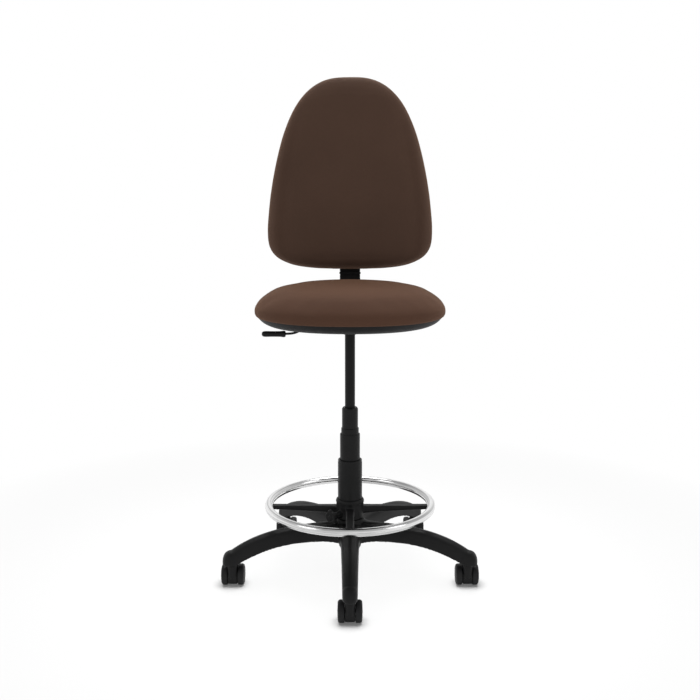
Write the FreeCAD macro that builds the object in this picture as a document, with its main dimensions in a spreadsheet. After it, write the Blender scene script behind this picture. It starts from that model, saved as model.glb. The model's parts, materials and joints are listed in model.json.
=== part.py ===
import FreeCAD, Part
import math
import os
import re
import Sketcher

# Adjustable swivel stool: five-arm base on twin-wheel casters, gas lift with a stepped column,
# height-adjustable foot ring, padded seat and a padded back on a bar that tilts.
# Frame: +Z up, the sitter faces -Y, the origin is on the floor on the column's axis. Millimetres.

Vector = FreeCAD.Vector
doc = FreeCAD.newDocument("swivel_stool")
sheet = doc.addObject("Spreadsheet::Sheet", "sizes")

SIZES = {
    # base
    "arm_reach": 305,          # column axis to each caster stem
    "arm_width": 40,
    "arm_rise": 78,            # from an arm's tip to its crown beside the hub
    "arm_depth": 42,           # height of an arm at its middle
    "arm_end_radius": 20,
    "hub_wall": 12,
    # casters
    "wheel_radius": 26,
    "wheel_width": 17,
    "wheel_gap": 24,           # between the two wheels of a caster
    "axle_radius": 4,
    "trail": 18,               # stem axis to axle axis
    "caster_clearance": 8,     # top of the wheels to the arm
    "stem_radius": 5.5,
    "stem_length": 38,
    "socket_wall": 2,
    "hood_floor_gap": 6.5,
    # column
    "pipe_radius": 25,
    "pipe_wall": 2,
    "pipe_show": 66,           # pipe between the sleeve and the bush's shoulder
    "sleeve_wall": 5.5,
    "sleeve_length": 151,
    "cap_height": 15,
    "nose_wall": 7.5,
    "nose_length": 53,
    "tube_radius": 12.5,
    "tube_wall": 2,
    "tube_overlap": 66,        # tube left inside the pipe at full height
    "rod_radius": 5,
    "lift_travel": 170,
    "lift_spare": 14,
    # foot ring
    "ring_radius": 205,        # to the centre of the tube
    "ring_tube_radius": 10,
    "ring_lift": 33,           # top of the hub to the ring's centre
    "collar_wall": 4.5,
    "collar_height": 51,
    "spoke_width": 20,
    "spoke_end_depth": 12,
    "spoke_root_depth": 20,
    "knob_radius": 19,
    "knob_depth": 13,
    # seat
    "pan_height": 18,
    "pan_inset": 10,           # seat cushion's edge to the pan's outside
    "pan_recess": 8,
    "recess_centre": 25,
    "seat_half_width": 233.5,
    "seat_half_depth": 225,
    "seat_centre": -7,         # middle of the seat, in front of the column axis
    "board_thickness": 10,
    "seat_pad": 68,
    "sheet_metal": 3,
    "plate_half_width": 75,
    "plate_half_depth": 80,
    "channel_depth": 31,
    "taper_length": 25,
    "angle_knob_radius": 15,
    "pivot_setback": 98,       # column axis to the back pivot
    "pivot_radius": 5,
    "lever_reach": 212,
    "lever_pivot": 22,
    # back
    "bar_width": 45,
    "bar_thickness": 8,
    "bar_length": 350,
    "back_gap": 12,            # rear edge of the seat to the bar at pivot height
    "back_lean": 6,            # degrees
    "back_rise": 124.5,        # pivot height to the back's lower edge, along the bar
    "back_length": 497,
    "back_half_width": 215.8,
    "back_pad": 57,
    "shell_depth": 13,
    "cover_wall": 5,
    "carrier_rise": 175,
    "carrier_length": 100,
    # fits
    "running_gap": 0.05,       # radial, a shaft in its bore
    "clear_gap": 0.3,          # between faces that pass each other
}

# Heights and widths that follow from the sizes, floor upwards, so that a change carries through.
DERIVED = {
    "arm_end_bottom": "2 * #wheel_radius + #caster_clearance",
    "hub_bottom": "#arm_end_bottom + 6",
    "arm_crown": "#arm_end_bottom + #arm_rise",
    "hub_top": "#arm_crown + 11",
    "hub_radius": "#pipe_radius + #hub_wall",
    "sleeve_radius": "#pipe_radius + #sleeve_wall",
    "sleeve_top": "#hub_top + #sleeve_length",
    "collar_top": "#hub_top + #collar_height",
    "ring_height": "#hub_top + #ring_lift",
    "knob_reach": "#sleeve_radius + 26",
    "knob_level": "#ring_height - 19",
    "pipe_top": "#sleeve_top + #pipe_show",
    "nose_radius": "#tube_radius + #nose_wall",
    "cap_radius": "#nose_radius + 2",
    "nose_top": "#pipe_top + #cap_height + #nose_length",
    "tube_bottom": "#pipe_top - #tube_overlap",
    "rod_top": "#tube_bottom + 25",
    "socket_bottom": "#nose_top + #lift_travel + #lift_spare",
    "socket_top": "#socket_bottom + #taper_length",
    "pan_bottom": "#socket_top + 5",
    "plate_bottom": "#pan_bottom + #pan_recess - #sheet_metal",
    "lever_level": "#plate_bottom - 4.5",
    "pivot_level": "#plate_bottom - #channel_depth + 15",
    "recess_radius": "sqrt(#plate_half_width ^ 2 + #plate_half_depth ^ 2) + 2",
    "channel_half_width": "#bar_width / 2 + 14.5",
    "bar_setback": "#seat_centre + #seat_half_depth + #back_gap",
    "cover_width": "#bar_width + 2 * #cover_wall",
}

ARM_ANGLES = [-90, -18, 54, 126, 198]
ARM_NAMES = ["front", "front_right", "rear_right", "rear_left", "front_left"]
SPOKE_COUNT = 4
PARTS = []


def fillSheet():
    # One row a size: its name beside its value, and the name again as the alias.
    for row, (name, value) in enumerate(SIZES.items(), start=1):
        sheet.set(f"A{row}", name)
        sheet.set(f"B{row}", str(value))
        sheet.setAlias(f"B{row}", name)
    doc.recompute()


def size(name):
    return float(getattr(sheet, name))


def bind(thing, path, formula):
    # A formula names sizes as #name; derived names open up first, then the sheet's cells.
    text = str(formula)
    for name, rule in reversed(DERIVED.items()):
        text = re.sub(f"#{name}\\b", f"({rule})", text)
    thing.setExpression(path, text.replace("#", "sizes."))


def keep(thing, label):
    # Marks an object as a finished sub-part; its label names its file.
    thing.Label = label
    PARTS.append(thing)
    return thing


def place(thing, x=0, y=0, z=0, axis=None, angle=None):
    for path, formula in (("x", x), ("y", y), ("z", z)):
        bind(thing, "Placement.Base." + path, formula)
    if axis is not None:
        thing.Placement = FreeCAD.Placement(thing.Placement.Base, FreeCAD.Rotation(axis, 1))
        bind(thing, "Placement.Rotation.Angle", angle)
    return thing


def drawOutline(sketch, corners):
    # A closed polygon; every corner is held by its two coordinates from the sketch's origin.
    count = len(corners)
    for index in range(count):
        turn = 2 * math.pi * index / count
        after = 2 * math.pi * (index + 1) / count
        start = Vector(100 * math.cos(turn), 100 * math.sin(turn), 0)
        end = Vector(100 * math.cos(after), 100 * math.sin(after), 0)
        sketch.addGeometry(Part.LineSegment(start, end))
    for index in range(count):
        sketch.addConstraint(Sketcher.Constraint("Coincident", index, 2, (index + 1) % count, 1))
    for index, corner in enumerate(corners):
        for kind, formula in zip(("DistanceX", "DistanceY"), corner):
            if formula == "0":
                across = -2 if kind == "DistanceX" else -1
                sketch.addConstraint(Sketcher.Constraint("PointOnObject", index, 1, across))
                continue
            rule = Sketcher.Constraint(kind, -1, 1, index, 1, 10.0)
            number = sketch.addConstraint(rule)
            bind(sketch, f"Constraints[{number}]", formula)


def originPlane(body, role):
    return next(item for item in body.Origin.OriginFeatures if item.Role == role)


def bodySketch(body, role, corners, name):
    sketch = body.newObject("Sketcher::SketchObject", name)
    sketch.AttachmentSupport = (originPlane(body, role), [""])
    sketch.MapMode = "FlatFace"
    drawOutline(sketch, corners)
    return sketch


def turned(label, corners):
    # A body of revolution about Z; corners are (radius, height).
    body = doc.addObject("PartDesign::Body", label + "_body")
    sketch = bodySketch(body, "XZ_Plane", corners, label + "_outline")
    turn = body.newObject("PartDesign::Revolution", label + "_turn")
    turn.Profile = sketch
    turn.ReferenceAxis = (sketch, ["V_Axis"])
    turn.Angle = 360
    return body


def addPad(body, role, corners, width, name):
    # A pad of equal reach on both sides of an origin plane.
    pad = body.newObject("PartDesign::Pad", name)
    pad.Profile = bodySketch(body, role, corners, name + "_outline")
    pad.Midplane = True
    bind(pad, "Length", width)
    return pad


def repeatAround(body, feature, count, name):
    # Repeats a feature evenly about the body's Z axis.
    doc.recompute()
    spread = body.newObject("PartDesign::PolarPattern", name)
    spread.Originals = [feature]
    spread.Axis = (originPlane(body, "Z_Axis"), [""])
    spread.Angle = 360
    spread.Occurrences = count
    body.Tip = spread
    return spread


def slab(label, corners, width):
    # A side outline in the YZ plane, padded across X.
    body = doc.addObject("PartDesign::Body", label + "_body")
    addPad(body, "YZ_Plane", corners, width, label + "_pad")
    return body


def block(name, low, high):
    # A box between two corners, each given as three formulas.
    box = doc.addObject("Part::Box", name)
    for side, start, end in zip(("Length", "Width", "Height"), low, high):
        bind(box, side, f"({end}) - ({start})")
    return place(box, *low)


AXIS_TURNS = {"X": (Vector(0, 1, 0), 90), "Y": (Vector(-1, 0, 0), 90)}


def rod(name, radius, start, length, along="Z"):
    # A round bar from a start point, running along +X, +Y or +Z.
    bar = doc.addObject("Part::Cylinder", name)
    bind(bar, "Radius", radius)
    bind(bar, "Height", length)
    if along == "Z":
        return place(bar, *start)
    axis, angle = AXIS_TURNS[along]
    return place(bar, *start, axis, angle)


def joined(name, pieces):
    whole = doc.addObject("Part::MultiFuse", name)
    whole.Shapes = pieces
    return whole


def cutAway(name, base, tools):
    cut = doc.addObject("Part::Cut", name)
    cut.Base = base
    cut.Tool = tools[0] if len(tools) == 1 else joined(name + "_tools", tools)
    return cut


def ring(label, inner, outer, bottom, top):
    corners = [(inner, bottom), (outer, bottom), (outer, top), (inner, top)]
    return keep(turned(label, corners), label)


# ---- base ----

def buildStarBase():
    # Hub and arms as one moulding: each arm arches out from the hub and drops to its caster.
    body = doc.addObject("PartDesign::Body", "star_base_body")
    hub = [("#pipe_radius", "#hub_bottom"), ("#pipe_radius + 3", "#hub_bottom"),
           ("#hub_radius", "#hub_bottom + 26"), ("#hub_radius", "#hub_top - 3"),
           ("#hub_radius - 3", "#hub_top"), ("#pipe_radius", "#hub_top")]
    sketch = bodySketch(body, "XZ_Plane", hub, "hub_outline")
    turn = body.newObject("PartDesign::Revolution", "hub_turn")
    turn.Profile = sketch
    turn.ReferenceAxis = (sketch, ["V_Axis"])
    side = [("-(#pipe_radius + 1)", "#hub_bottom + 6"), ("-(#pipe_radius + 1)", "#arm_crown"),
            ("-#arm_reach * 0.45", "#arm_crown"), ("-#arm_reach * 0.6", "#arm_crown - 5"),
            ("-#arm_reach * 0.76", "#arm_crown - 13.5"), ("-#arm_reach * 0.88", "#arm_crown - 26"),
            ("-#arm_reach", "#arm_crown - 40"), ("-#arm_reach", "#arm_end_bottom + 4"),
            ("-(#arm_reach - #arm_end_radius)", "#arm_end_bottom + 4"),
            ("-#arm_reach * 0.82", "#arm_crown - #arm_depth - 19"),
            ("-#arm_reach * 0.68", "#arm_crown - #arm_depth - 7"),
            ("-#arm_reach * 0.46", "#arm_crown - #arm_depth"),
            ("-#arm_reach * 0.25", "#arm_crown - #arm_depth - 4")]
    repeatAround(body, addPad(body, "YZ_Plane", side, "#arm_width", "arm"), len(ARM_ANGLES), "arms")
    for kind, name, radius, height, low in (
            ("AdditiveCylinder", "arm_end", "#arm_end_radius", "#arm_crown - 46 - #arm_end_bottom", "0"),
            ("SubtractiveCylinder", "stem_bore", "#stem_radius + #socket_wall", "#stem_length - 8", "1")):
        drum = body.newObject("PartDesign::" + kind, name)
        drum.AttachmentSupport = (originPlane(body, "XY_Plane"), [""])
        drum.MapMode = "FlatFace"
        bind(drum, "Radius", radius)
        bind(drum, "Height", height)
        bind(drum, "AttachmentOffset.Base.y", "-#arm_reach")
        bind(drum, "AttachmentOffset.Base.z", f"#arm_end_bottom - {low}")
        repeatAround(body, drum, len(ARM_ANGLES), name + "s")
    return keep(body, "star_base")


def armEnd(angle):
    # Formulas for the foot of one arm's stem axis.
    return f"#arm_reach * cos({angle})", f"#arm_reach * sin({angle})"


def buildStemSockets():
    # The lined bores that the caster stems turn in.
    liners = []
    for name, angle in zip(ARM_NAMES, ARM_ANGLES):
        x, y = armEnd(angle)
        outer = rod(f"liner_{name}", "#stem_radius + #socket_wall", (x, y, "#arm_end_bottom"),
                    "#stem_length - 9")
        bore = rod(f"liner_bore_{name}", "#stem_radius + #running_gap",
                   (x, y, "#arm_end_bottom - 1"), "#stem_length")
        liners.append(cutAway(f"liner_cut_{name}", outer, [bore]))
    return keep(joined("stem_sockets_all", liners), "stem_sockets")


def buildCaster(name, angle):
    # Stem and hood turn on the arm; two wheels pressed on one axle turn in the hood.
    x, y = armEnd(angle)
    axleY = f"{y} + #trail"
    stem = rod(f"stem_{name}", "#stem_radius", (x, y, "#arm_end_bottom - 12"), "#stem_length")
    keep(stem, f"caster_stem_{name}")
    halfHood = "(#wheel_gap / 2 - 1)"
    disc = rod(f"hood_disc_{name}", "#wheel_radius - 0.5",
               (f"{x} - {halfHood}", axleY, "#wheel_radius"), f"2 * {halfHood}", "X")
    neck = rod(f"hood_neck_{name}", "#stem_radius + 5.5",
               (x, y, "#wheel_radius + 8"), "#arm_end_bottom - #wheel_radius - 8 - 2 * #clear_gap")
    under = block(f"hood_under_{name}", (f"{x} - 30", f"{y} - 30", "0"),
                  (f"{x} + 30", f"{y} + 60", "#hood_floor_gap"))
    back = block(f"hood_back_{name}", (f"{x} - 30", f"{axleY} + 9", "0"),
                 (f"{x} + 30", f"{y} + 80", "#wheel_radius + 6"))
    bore = rod(f"hood_bore_{name}", "#axle_radius + #running_gap",
               (f"{x} - 30", axleY, "#wheel_radius"), "60", "X")
    seat = rod(f"hood_seat_{name}", "#stem_radius", (x, y, "#arm_end_bottom - 12"), "#stem_length")
    hood = cutAway(f"hood_cut_{name}", joined(f"hood_{name}", [disc, neck]), [under, back, bore, seat])
    keep(hood, f"caster_hood_{name}")
    axle = rod(f"axle_{name}", "#axle_radius",
               (f"{x} - #wheel_gap / 2 - #wheel_width + 3", axleY, "#wheel_radius"),
               "#wheel_gap + 2 * #wheel_width - 6", "X")
    keep(axle, f"caster_axle_{name}")
    outline = [("0", "#wheel_width - 3"), ("#axle_radius", "#wheel_width - 3"), ("#axle_radius", "0"),
               ("#wheel_radius - 2", "0"), ("#wheel_radius", "2"), ("#wheel_radius", "#wheel_width - 5"),
               ("#wheel_radius - 2.5", "#wheel_width - 1.5"), ("#wheel_radius - 9", "#wheel_width"),
               ("0", "#wheel_width")]
    for side, sign, turn in (("right", "+", 90), ("left", "-", -90)):
        wheel = turned(f"wheel_{side}_{name}", outline)
        place(wheel, f"{x} {sign} #wheel_gap / 2", axleY, "#wheel_radius", Vector(0, 1, 0), turn)
        keep(wheel, f"caster_wheel_{side}_{name}")


# ---- column ----

def buildColumn():
    # Standpipe in the hub, the foot ring's sleeve over it, and the stepped guide bush on top.
    inner = "#pipe_radius - #pipe_wall"
    pipe = [("#rod_radius + #running_gap", "#hub_bottom"), ("#pipe_radius", "#hub_bottom"),
            ("#pipe_radius", "#pipe_top"), (inner, "#pipe_top"), (inner, "#hub_bottom + 4"),
            ("#rod_radius + #running_gap", "#hub_bottom + 4")]
    keep(turned("column_pipe", pipe), "column_pipe")
    ring("ring_sleeve", "#pipe_radius", "#sleeve_radius", "#hub_top", "#sleeve_top")
    bore = "#tube_radius + #running_gap"
    neckTop = "#pipe_top + #cap_height"
    bush = [(bore, "#tube_bottom"), (inner, "#tube_bottom"), (inner, "#pipe_top"),
            ("#cap_radius", "#pipe_top"), ("#cap_radius", neckTop + " - 1.5"),
            ("#cap_radius - 1.5", neckTop), ("#nose_radius", neckTop), ("#nose_radius", "#nose_top - 2"),
            ("#nose_radius - 2", "#nose_top"), (bore, "#nose_top")]
    keep(turned("guide_bush", bush), "guide_bush")
    ring("thrust_bearing", "#rod_radius + 1", "#rod_radius + 9", "#hub_bottom + 4", "#hub_bottom + 11")
    ring("lift_buffer", "#rod_radius + 0.5", "#rod_radius + 9", "#hub_bottom + 11", "#hub_bottom + 26")


def buildLift():
    # Rod and piston stand on the thrust bearing; the pressure tube slides over them.
    groove = "#rod_radius - 1"
    spindle = [("0", "#hub_bottom - 8"), ("#rod_radius", "#hub_bottom - 8"),
               ("#rod_radius", "#hub_bottom - 4"), (groove, "#hub_bottom - 4"),
               (groove, "#hub_bottom - 2"), ("#rod_radius", "#hub_bottom - 2"),
               ("#rod_radius", "#rod_top"), ("0", "#rod_top")]
    keep(turned("piston_rod", spindle), "piston_rod")
    ring("rod_clip", groove, "#rod_radius + 4", "#hub_bottom - 4", "#hub_bottom - 2")
    inside = "#tube_radius - #tube_wall"
    ring("piston", "#rod_radius", f"{inside} - #running_gap", "#rod_top - 13", "#rod_top - 1")
    gland = "#rod_radius + #running_gap"
    pinBore = "3 + #running_gap"
    taperTop = "#socket_top"
    tube = [(gland, "#tube_bottom"), ("#tube_radius", "#tube_bottom"), ("#tube_radius", "#socket_bottom"),
            ("#tube_radius - 0.6", taperTop), (pinBore, taperTop), (pinBore, taperTop + " - 10"),
            (inside, taperTop + " - 10"), (inside, "#tube_bottom + 8"), (gland, "#tube_bottom + 8")]
    keep(turned("gas_cylinder", tube), "gas_cylinder")
    pinFoot = "(#socket_top - 13)"
    pin = rod("release_pin_bar", "3", ("0", "0", pinFoot), f"#lever_level - 1.3 - {pinFoot}")
    keep(pin, "release_pin")


# ---- foot ring ----

KNOB_HEADING = 225


def radialTurn(piece, reach, height):
    # Lays a piece built about Z along the clamp screw's axis, pointing out from the column.
    bind(piece, "Placement.Base.x", f"{reach} * cos({KNOB_HEADING})")
    bind(piece, "Placement.Base.y", f"{reach} * sin({KNOB_HEADING})")
    bind(piece, "Placement.Base.z", height)
    heading = Vector(math.cos(math.radians(KNOB_HEADING)), math.sin(math.radians(KNOB_HEADING)), 0)
    piece.Placement = FreeCAD.Placement(piece.Placement.Base, FreeCAD.Rotation(Vector(0, 0, 1), heading))
    return piece


def buildFootRing():
    hoop = doc.addObject("Part::Torus", "hoop")
    bind(hoop, "Radius1", "#ring_radius")
    bind(hoop, "Radius2", "#ring_tube_radius")
    place(hoop, z="#ring_height")
    keep(hoop, "foot_ring")
    collarRadius = "(#sleeve_radius + #collar_wall)"
    bottom = "#hub_top + #clear_gap"
    body = doc.addObject("PartDesign::Body", "spider_body")
    wall = [("#sleeve_radius + #running_gap", bottom), (collarRadius, bottom),
            (collarRadius, "#collar_top - 3"), (f"{collarRadius} - 1.5", "#collar_top"),
            ("#sleeve_radius + #running_gap", "#collar_top")]
    sketch = bodySketch(body, "XZ_Plane", wall, "collar_outline")
    turn = body.newObject("PartDesign::Revolution", "collar_turn")
    turn.Profile = sketch
    turn.ReferenceAxis = (sketch, ["V_Axis"])
    root = "#sleeve_radius + 2"
    tip = "#ring_radius - 2"
    side = [(root, "#ring_height - #spoke_root_depth - 3"), (tip, "#ring_height - #spoke_end_depth - 0.5"),
            (tip, "#ring_height - 0.5"), (root, "#ring_height - 3")]
    repeatAround(body, addPad(body, "XZ_Plane", side, "#spoke_width", "spoke"), SPOKE_COUNT, "spokes")
    level = "#knob_level"
    boss = radialTurn(rod("clamp_boss", "9", ("0", "0", "0"), "#knob_reach - #sleeve_radius - 7"),
                      "(#sleeve_radius + 3)", level)
    hole = radialTurn(rod("clamp_hole", "4 + #running_gap", ("0", "0", "0"), "#knob_reach"),
                      "(#sleeve_radius - 6)", level)
    saddle = doc.addObject("Part::Torus", "saddle")
    bind(saddle, "Radius1", "#ring_radius")
    bind(saddle, "Radius2", "#ring_tube_radius")
    place(saddle, z="#ring_height")
    bore = rod("spider_bore", "#sleeve_radius + #running_gap", ("0", "0", "#hub_top - 5"), "80")
    spider = cutAway("spider_cut", joined("spider_whole", [body, boss]), [saddle, bore, hole])
    keep(spider, "ring_spider")
    padBar = rod("clamp_pad", "4", ("0", "0", "0"), "2.5")
    keep(radialTurn(padBar, "(#sleeve_radius + #running_gap)", level), "ring_clamp_pad")
    screwStart = "(#sleeve_radius + #running_gap + 2.6)"
    screwLength = f"#knob_reach + #knob_depth - 4 - {screwStart}"
    screw = radialTurn(rod("clamp_screw", "4", ("0", "0", "0"), screwLength), screwStart, level)
    keep(screw, "ring_clamp_screw")
    grip = turned("ring_knob", [("0", "#knob_depth - 4"), ("4", "#knob_depth - 4"), ("4", "0"), ("9", "0"),
                                ("#knob_radius", "4"), ("#knob_radius", "#knob_depth - 2"),
                                ("#knob_radius - 2", "#knob_depth"), ("0", "#knob_depth")])
    keep(radialTurn(grip, "#knob_reach", level), "ring_knob")


# ---- seat ----

# The rear pair stands clear of the angle knob.
SCREW_PLACES = [(f"{side} * (#plate_half_width - 15)", end) for side in (-1, 1)
                for end in ("#recess_centre - #plate_half_depth + 10",
                            "#pivot_setback - #angle_knob_radius - 8")]


def ovalPrism(name, halfWidth, halfDepth, bottom, top):
    # An upright elliptical plate.
    oval = doc.addObject("Part::Ellipse", name + "_oval")
    bind(oval, "MajorRadius", halfWidth)
    bind(oval, "MinorRadius", halfDepth)
    place(oval, y="#seat_centre", z=bottom)
    prism = doc.addObject("Part::Extrusion", name)
    prism.Base = oval
    prism.DirMode = "Custom"
    prism.Dir = Vector(0, 0, 1)
    prism.Solid = True
    bind(prism, "LengthFwd", f"({top}) - ({bottom})")
    return prism


def screwBars(prefix, radius, bottom, length):
    return [rod(f"{prefix}_{index}", radius, (x, y, bottom), length)
            for index, (x, y) in enumerate(SCREW_PLACES)]


def buildMechanism():
    # Pressed plate with a channel under it, the taper socket and the lugs of the lever's pin.
    metal = "#sheet_metal"
    outer = "#channel_half_width"
    floor = "(#plate_bottom - #channel_depth)"
    rear = "#pivot_setback + 17"
    plate = block("seat_plate",
                  ("-#plate_half_width", "#recess_centre - #plate_half_depth", "#plate_bottom"),
                  ("#plate_half_width", "#recess_centre + #plate_half_depth", f"#plate_bottom + {metal}"))
    left = block("wall_left", (f"-{outer}", "-30", floor), (f"-{outer} + {metal}", rear, "#plate_bottom"))
    right = block("wall_right", (f"{outer} - {metal}", "-30", floor), (outer, rear, "#plate_bottom"))
    front = block("wall_front", (f"-{outer}", "-30", floor), (outer, f"-30 + {metal}", "#plate_bottom"))
    bottom = block("wall_bottom", (f"-{outer}", "-30", floor), (outer, "60", f"{floor} + {metal}"))
    hub = rod("taper_hub", "#tube_radius + 4.5", ("0", "0", "#socket_bottom"), "#taper_length")
    lugs = [block(f"lug_{end}", ("-#lever_pivot - 5", start, "#socket_top"),
                  ("-#lever_pivot + 5", stop, "#plate_bottom"))
            for end, start, stop in (("front", "-13", "-9"), ("rear", "9", "13"))]
    whole = joined("mechanism_whole", [plate, left, right, front, bottom, hub] + lugs)
    taper = doc.addObject("Part::Cone", "taper_bore")
    bind(taper, "Radius1", "#tube_radius")
    bind(taper, "Radius2", "#tube_radius - 0.6")
    bind(taper, "Height", "#taper_length")
    place(taper, z="#socket_bottom")
    slot = block("lever_slot", (f"-{outer} - 2", "-8", "#lever_level - 14.5"),
                 (f"-{outer} + {metal} + 2", "8", "#plate_bottom"))
    pivot = rod("pivot_holes", "#pivot_radius", (f"-{outer} - 5", "#pivot_setback", "#pivot_level"),
                f"2 * {outer} + 10", "X")
    pin = rod("lever_pin_holes", "2", ("-#lever_pivot", "-20", "#lever_level"), "40", "Y")
    holes = screwBars("plate_hole", "3", "#pan_bottom - 10", "30")
    return keep(cutAway("mechanism_cut", whole, [taper, slot, pivot, pin] + holes), "mechanism")


def buildLever():
    # Release lever: a flat tip over the pin, a cranked rod out under the pan and a round grip.
    level = "#lever_level"
    drop = "#socket_bottom"
    bendX = "-#lever_reach + 84"
    gripX = "-#lever_reach + 54"
    hinge = rod("lever_pin_bar", "2", ("-#lever_pivot", "-13", level), "26", "Y")
    keep(hinge, "lever_pin")
    inner = [("5", f"{level} - 1"), ("5", f"{level} + 1.5"), ("-#lever_pivot - 14", f"{level} + 1.5"),
             (bendX, f"{drop} + 9"), (gripX, f"{drop} + 2.5"),
             (gripX, f"{drop} - 2.5"), (bendX, f"{drop} + 4"),
             ("-#lever_pivot - 14", f"{level} - 3.5"), ("-#lever_pivot + 5", f"{level} - 3.5"),
             ("-#lever_pivot + 6", f"{level} - 1")]
    body = doc.addObject("PartDesign::Body", "lever_body")
    addPad(body, "XZ_Plane", inner, "6", "lever_strip")
    sleeve = rod("lever_eye", "4", ("-#lever_pivot", "-8", level), "16", "Y")
    hole = rod("lever_hole", "2 + #running_gap", ("-#lever_pivot", "-10", level), "20", "Y")
    keep(cutAway("lever_cut", joined("lever_whole", [body, sleeve]), [hole]), "lever_rod")
    grip = turned("lever_grip", [("0", "0"), ("5.5", "0"), ("7.5", "4"), ("6.5", "30"), ("6.5", "48"),
                                 ("3", "54"), ("0", "54")])
    place(grip, gripX, 0, drop, Vector(0, -1, 0), 90)
    socket = block("lever_grip_socket", (f"{gripX} - 12", "-3", f"{drop} - 2.5"),
                   (f"{gripX} + 8", "3", f"{drop} + 3"))
    keep(cutAway("lever_grip_cut", grip, [socket]), "lever_handle")


def buildSeat():
    lip = "#pan_bottom + #pan_height"
    wall = "#sheet_metal"
    base = ovalPrism("pan_outer", "#seat_half_width - #pan_inset", "#seat_half_depth - #pan_inset",
                     "#pan_bottom", lip)
    hollow = ovalPrism("pan_inner", f"#seat_half_width - #pan_inset - {wall}",
                       f"#seat_half_depth - #pan_inset - {wall}", f"#pan_bottom + {wall}", f"{lip} + 5")
    recessTop = "#pan_bottom + #pan_recess"
    cup = rod("pan_cup", f"#recess_radius + {wall}", ("0", "#recess_centre", "#pan_bottom"),
              f"#pan_recess + {wall}")
    shell = joined("pan_shell", [cutAway("pan_cut", base, [hollow]), cup])
    recess = rod("pan_recess", "#recess_radius", ("0", "#recess_centre", "#pan_bottom - 5"),
                 "#pan_recess + 5")
    holes = screwBars("pan_hole", "3", "#pan_bottom", "20")
    keep(cutAway("pan_done", shell, [recess] + holes), "seat_pan")
    boardBottom = f"({recessTop} + {wall})"
    board = ovalPrism("board_oval", "#seat_half_width - #pan_inset - 16",
                      "#seat_half_depth - #pan_inset - 16", boardBottom, f"{boardBottom} + #board_thickness")
    nuts = screwBars("board_hole", "3", "#pan_bottom", "24")
    keep(cutAway("board_done", board, nuts), "seat_board")
    boardTop = f"({boardBottom} + #board_thickness)"
    pad = ovalPrism("pad_oval", "#seat_half_width", "#seat_half_depth", boardTop, f"{boardTop} + #seat_pad")
    doc.recompute()
    soft = doc.addObject("Part::Fillet", "pad_rounded")
    soft.Base = pad
    rims = [(number, 12.0 if edge.BoundBox.ZMax < pad.Shape.BoundBox.Center.z else 30.0)
            for number, edge in enumerate(pad.Shape.Edges, start=1) if edge.BoundBox.ZLength < 1]
    soft.Edges = [(number, radius, radius) for number, radius in rims]
    keep(soft, "seat_cushion")
    shanks = screwBars("seat_shank", "3", f"{recessTop} - {wall}", "14")
    heads = screwBars("seat_head", "5.5", f"{recessTop} - {wall} - 3", "3")
    bolts = [joined(f"seat_bolt_{n}", pair) for n, pair in enumerate(zip(shanks, heads))]
    keep(joined("seat_bolts", bolts), "seat_screws")


# ---- back ----

def leanPlace(piece):
    # Puts a piece drawn upright on the bar's front face at pivot height, and leans it back.
    place(piece, 0, "#bar_setback", "#pivot_level", Vector(-1, 0, 0), "#back_lean")
    return piece


def backOutline(inset):
    # Half width a*cos(t)^p against height, from the lower edge to the top: a high rounded arch
    # above the widest level, drawn in a little half way up, and squarer corners below it.
    half = size("back_half_width") - inset
    length = size("back_length")
    widest = 0.2075 * length
    points = []
    steps = 64
    for step in range(steps):
        turn = 2 * math.pi * (step + 0.5) / steps
        across = math.cos(turn)
        up = math.sin(turn)
        if up > 0:
            rise = (length - inset - widest) * up ** 1.106
            taper = 1 - 0.125 * rise / length + 0.217 * (rise / length) ** 2
            width = half * abs(across) ** 0.741 * taper
        else:
            rise = -(widest - inset) * abs(up) ** 0.587
            width = half * abs(across) ** 0.545
        height = size("back_rise") + widest + rise
        points.append(Vector(math.copysign(width, across), 0, height))
    curve = Part.BSplineCurve()
    curve.interpolate(points, PeriodicFlag=True)
    return Part.Wire(curve.toShape())


def backSlab(inset, front, rear):
    # The back's outline drawn in by an inset, between two distances from the bar's front face.
    face = Part.Face(backOutline(inset))
    solid = face.extrude(Vector(0, rear - front, 0))
    solid.translate(Vector(0, front, 0))
    return solid


def backFeature(label, shape):
    piece = doc.addObject("Part::Feature", label + "_shape")
    piece.Shape = shape
    leanPlace(piece)
    return keep(piece, label)


CARRIER_SCREWS = [(side, end) for side in (-1, 1) for end in ("+ 20", "+ #carrier_length - 20")]


def carrierBars(prefix, radius, start, length):
    # A round bar at each screw of the bracket, running rearwards.
    return [rod(f"{prefix}_{index}", radius,
                (f"{side} * (#bar_width / 2 + 13.5)", start, f"#carrier_rise {end}"), length, "Y")
            for index, (side, end) in enumerate(CARRIER_SCREWS)]


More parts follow.
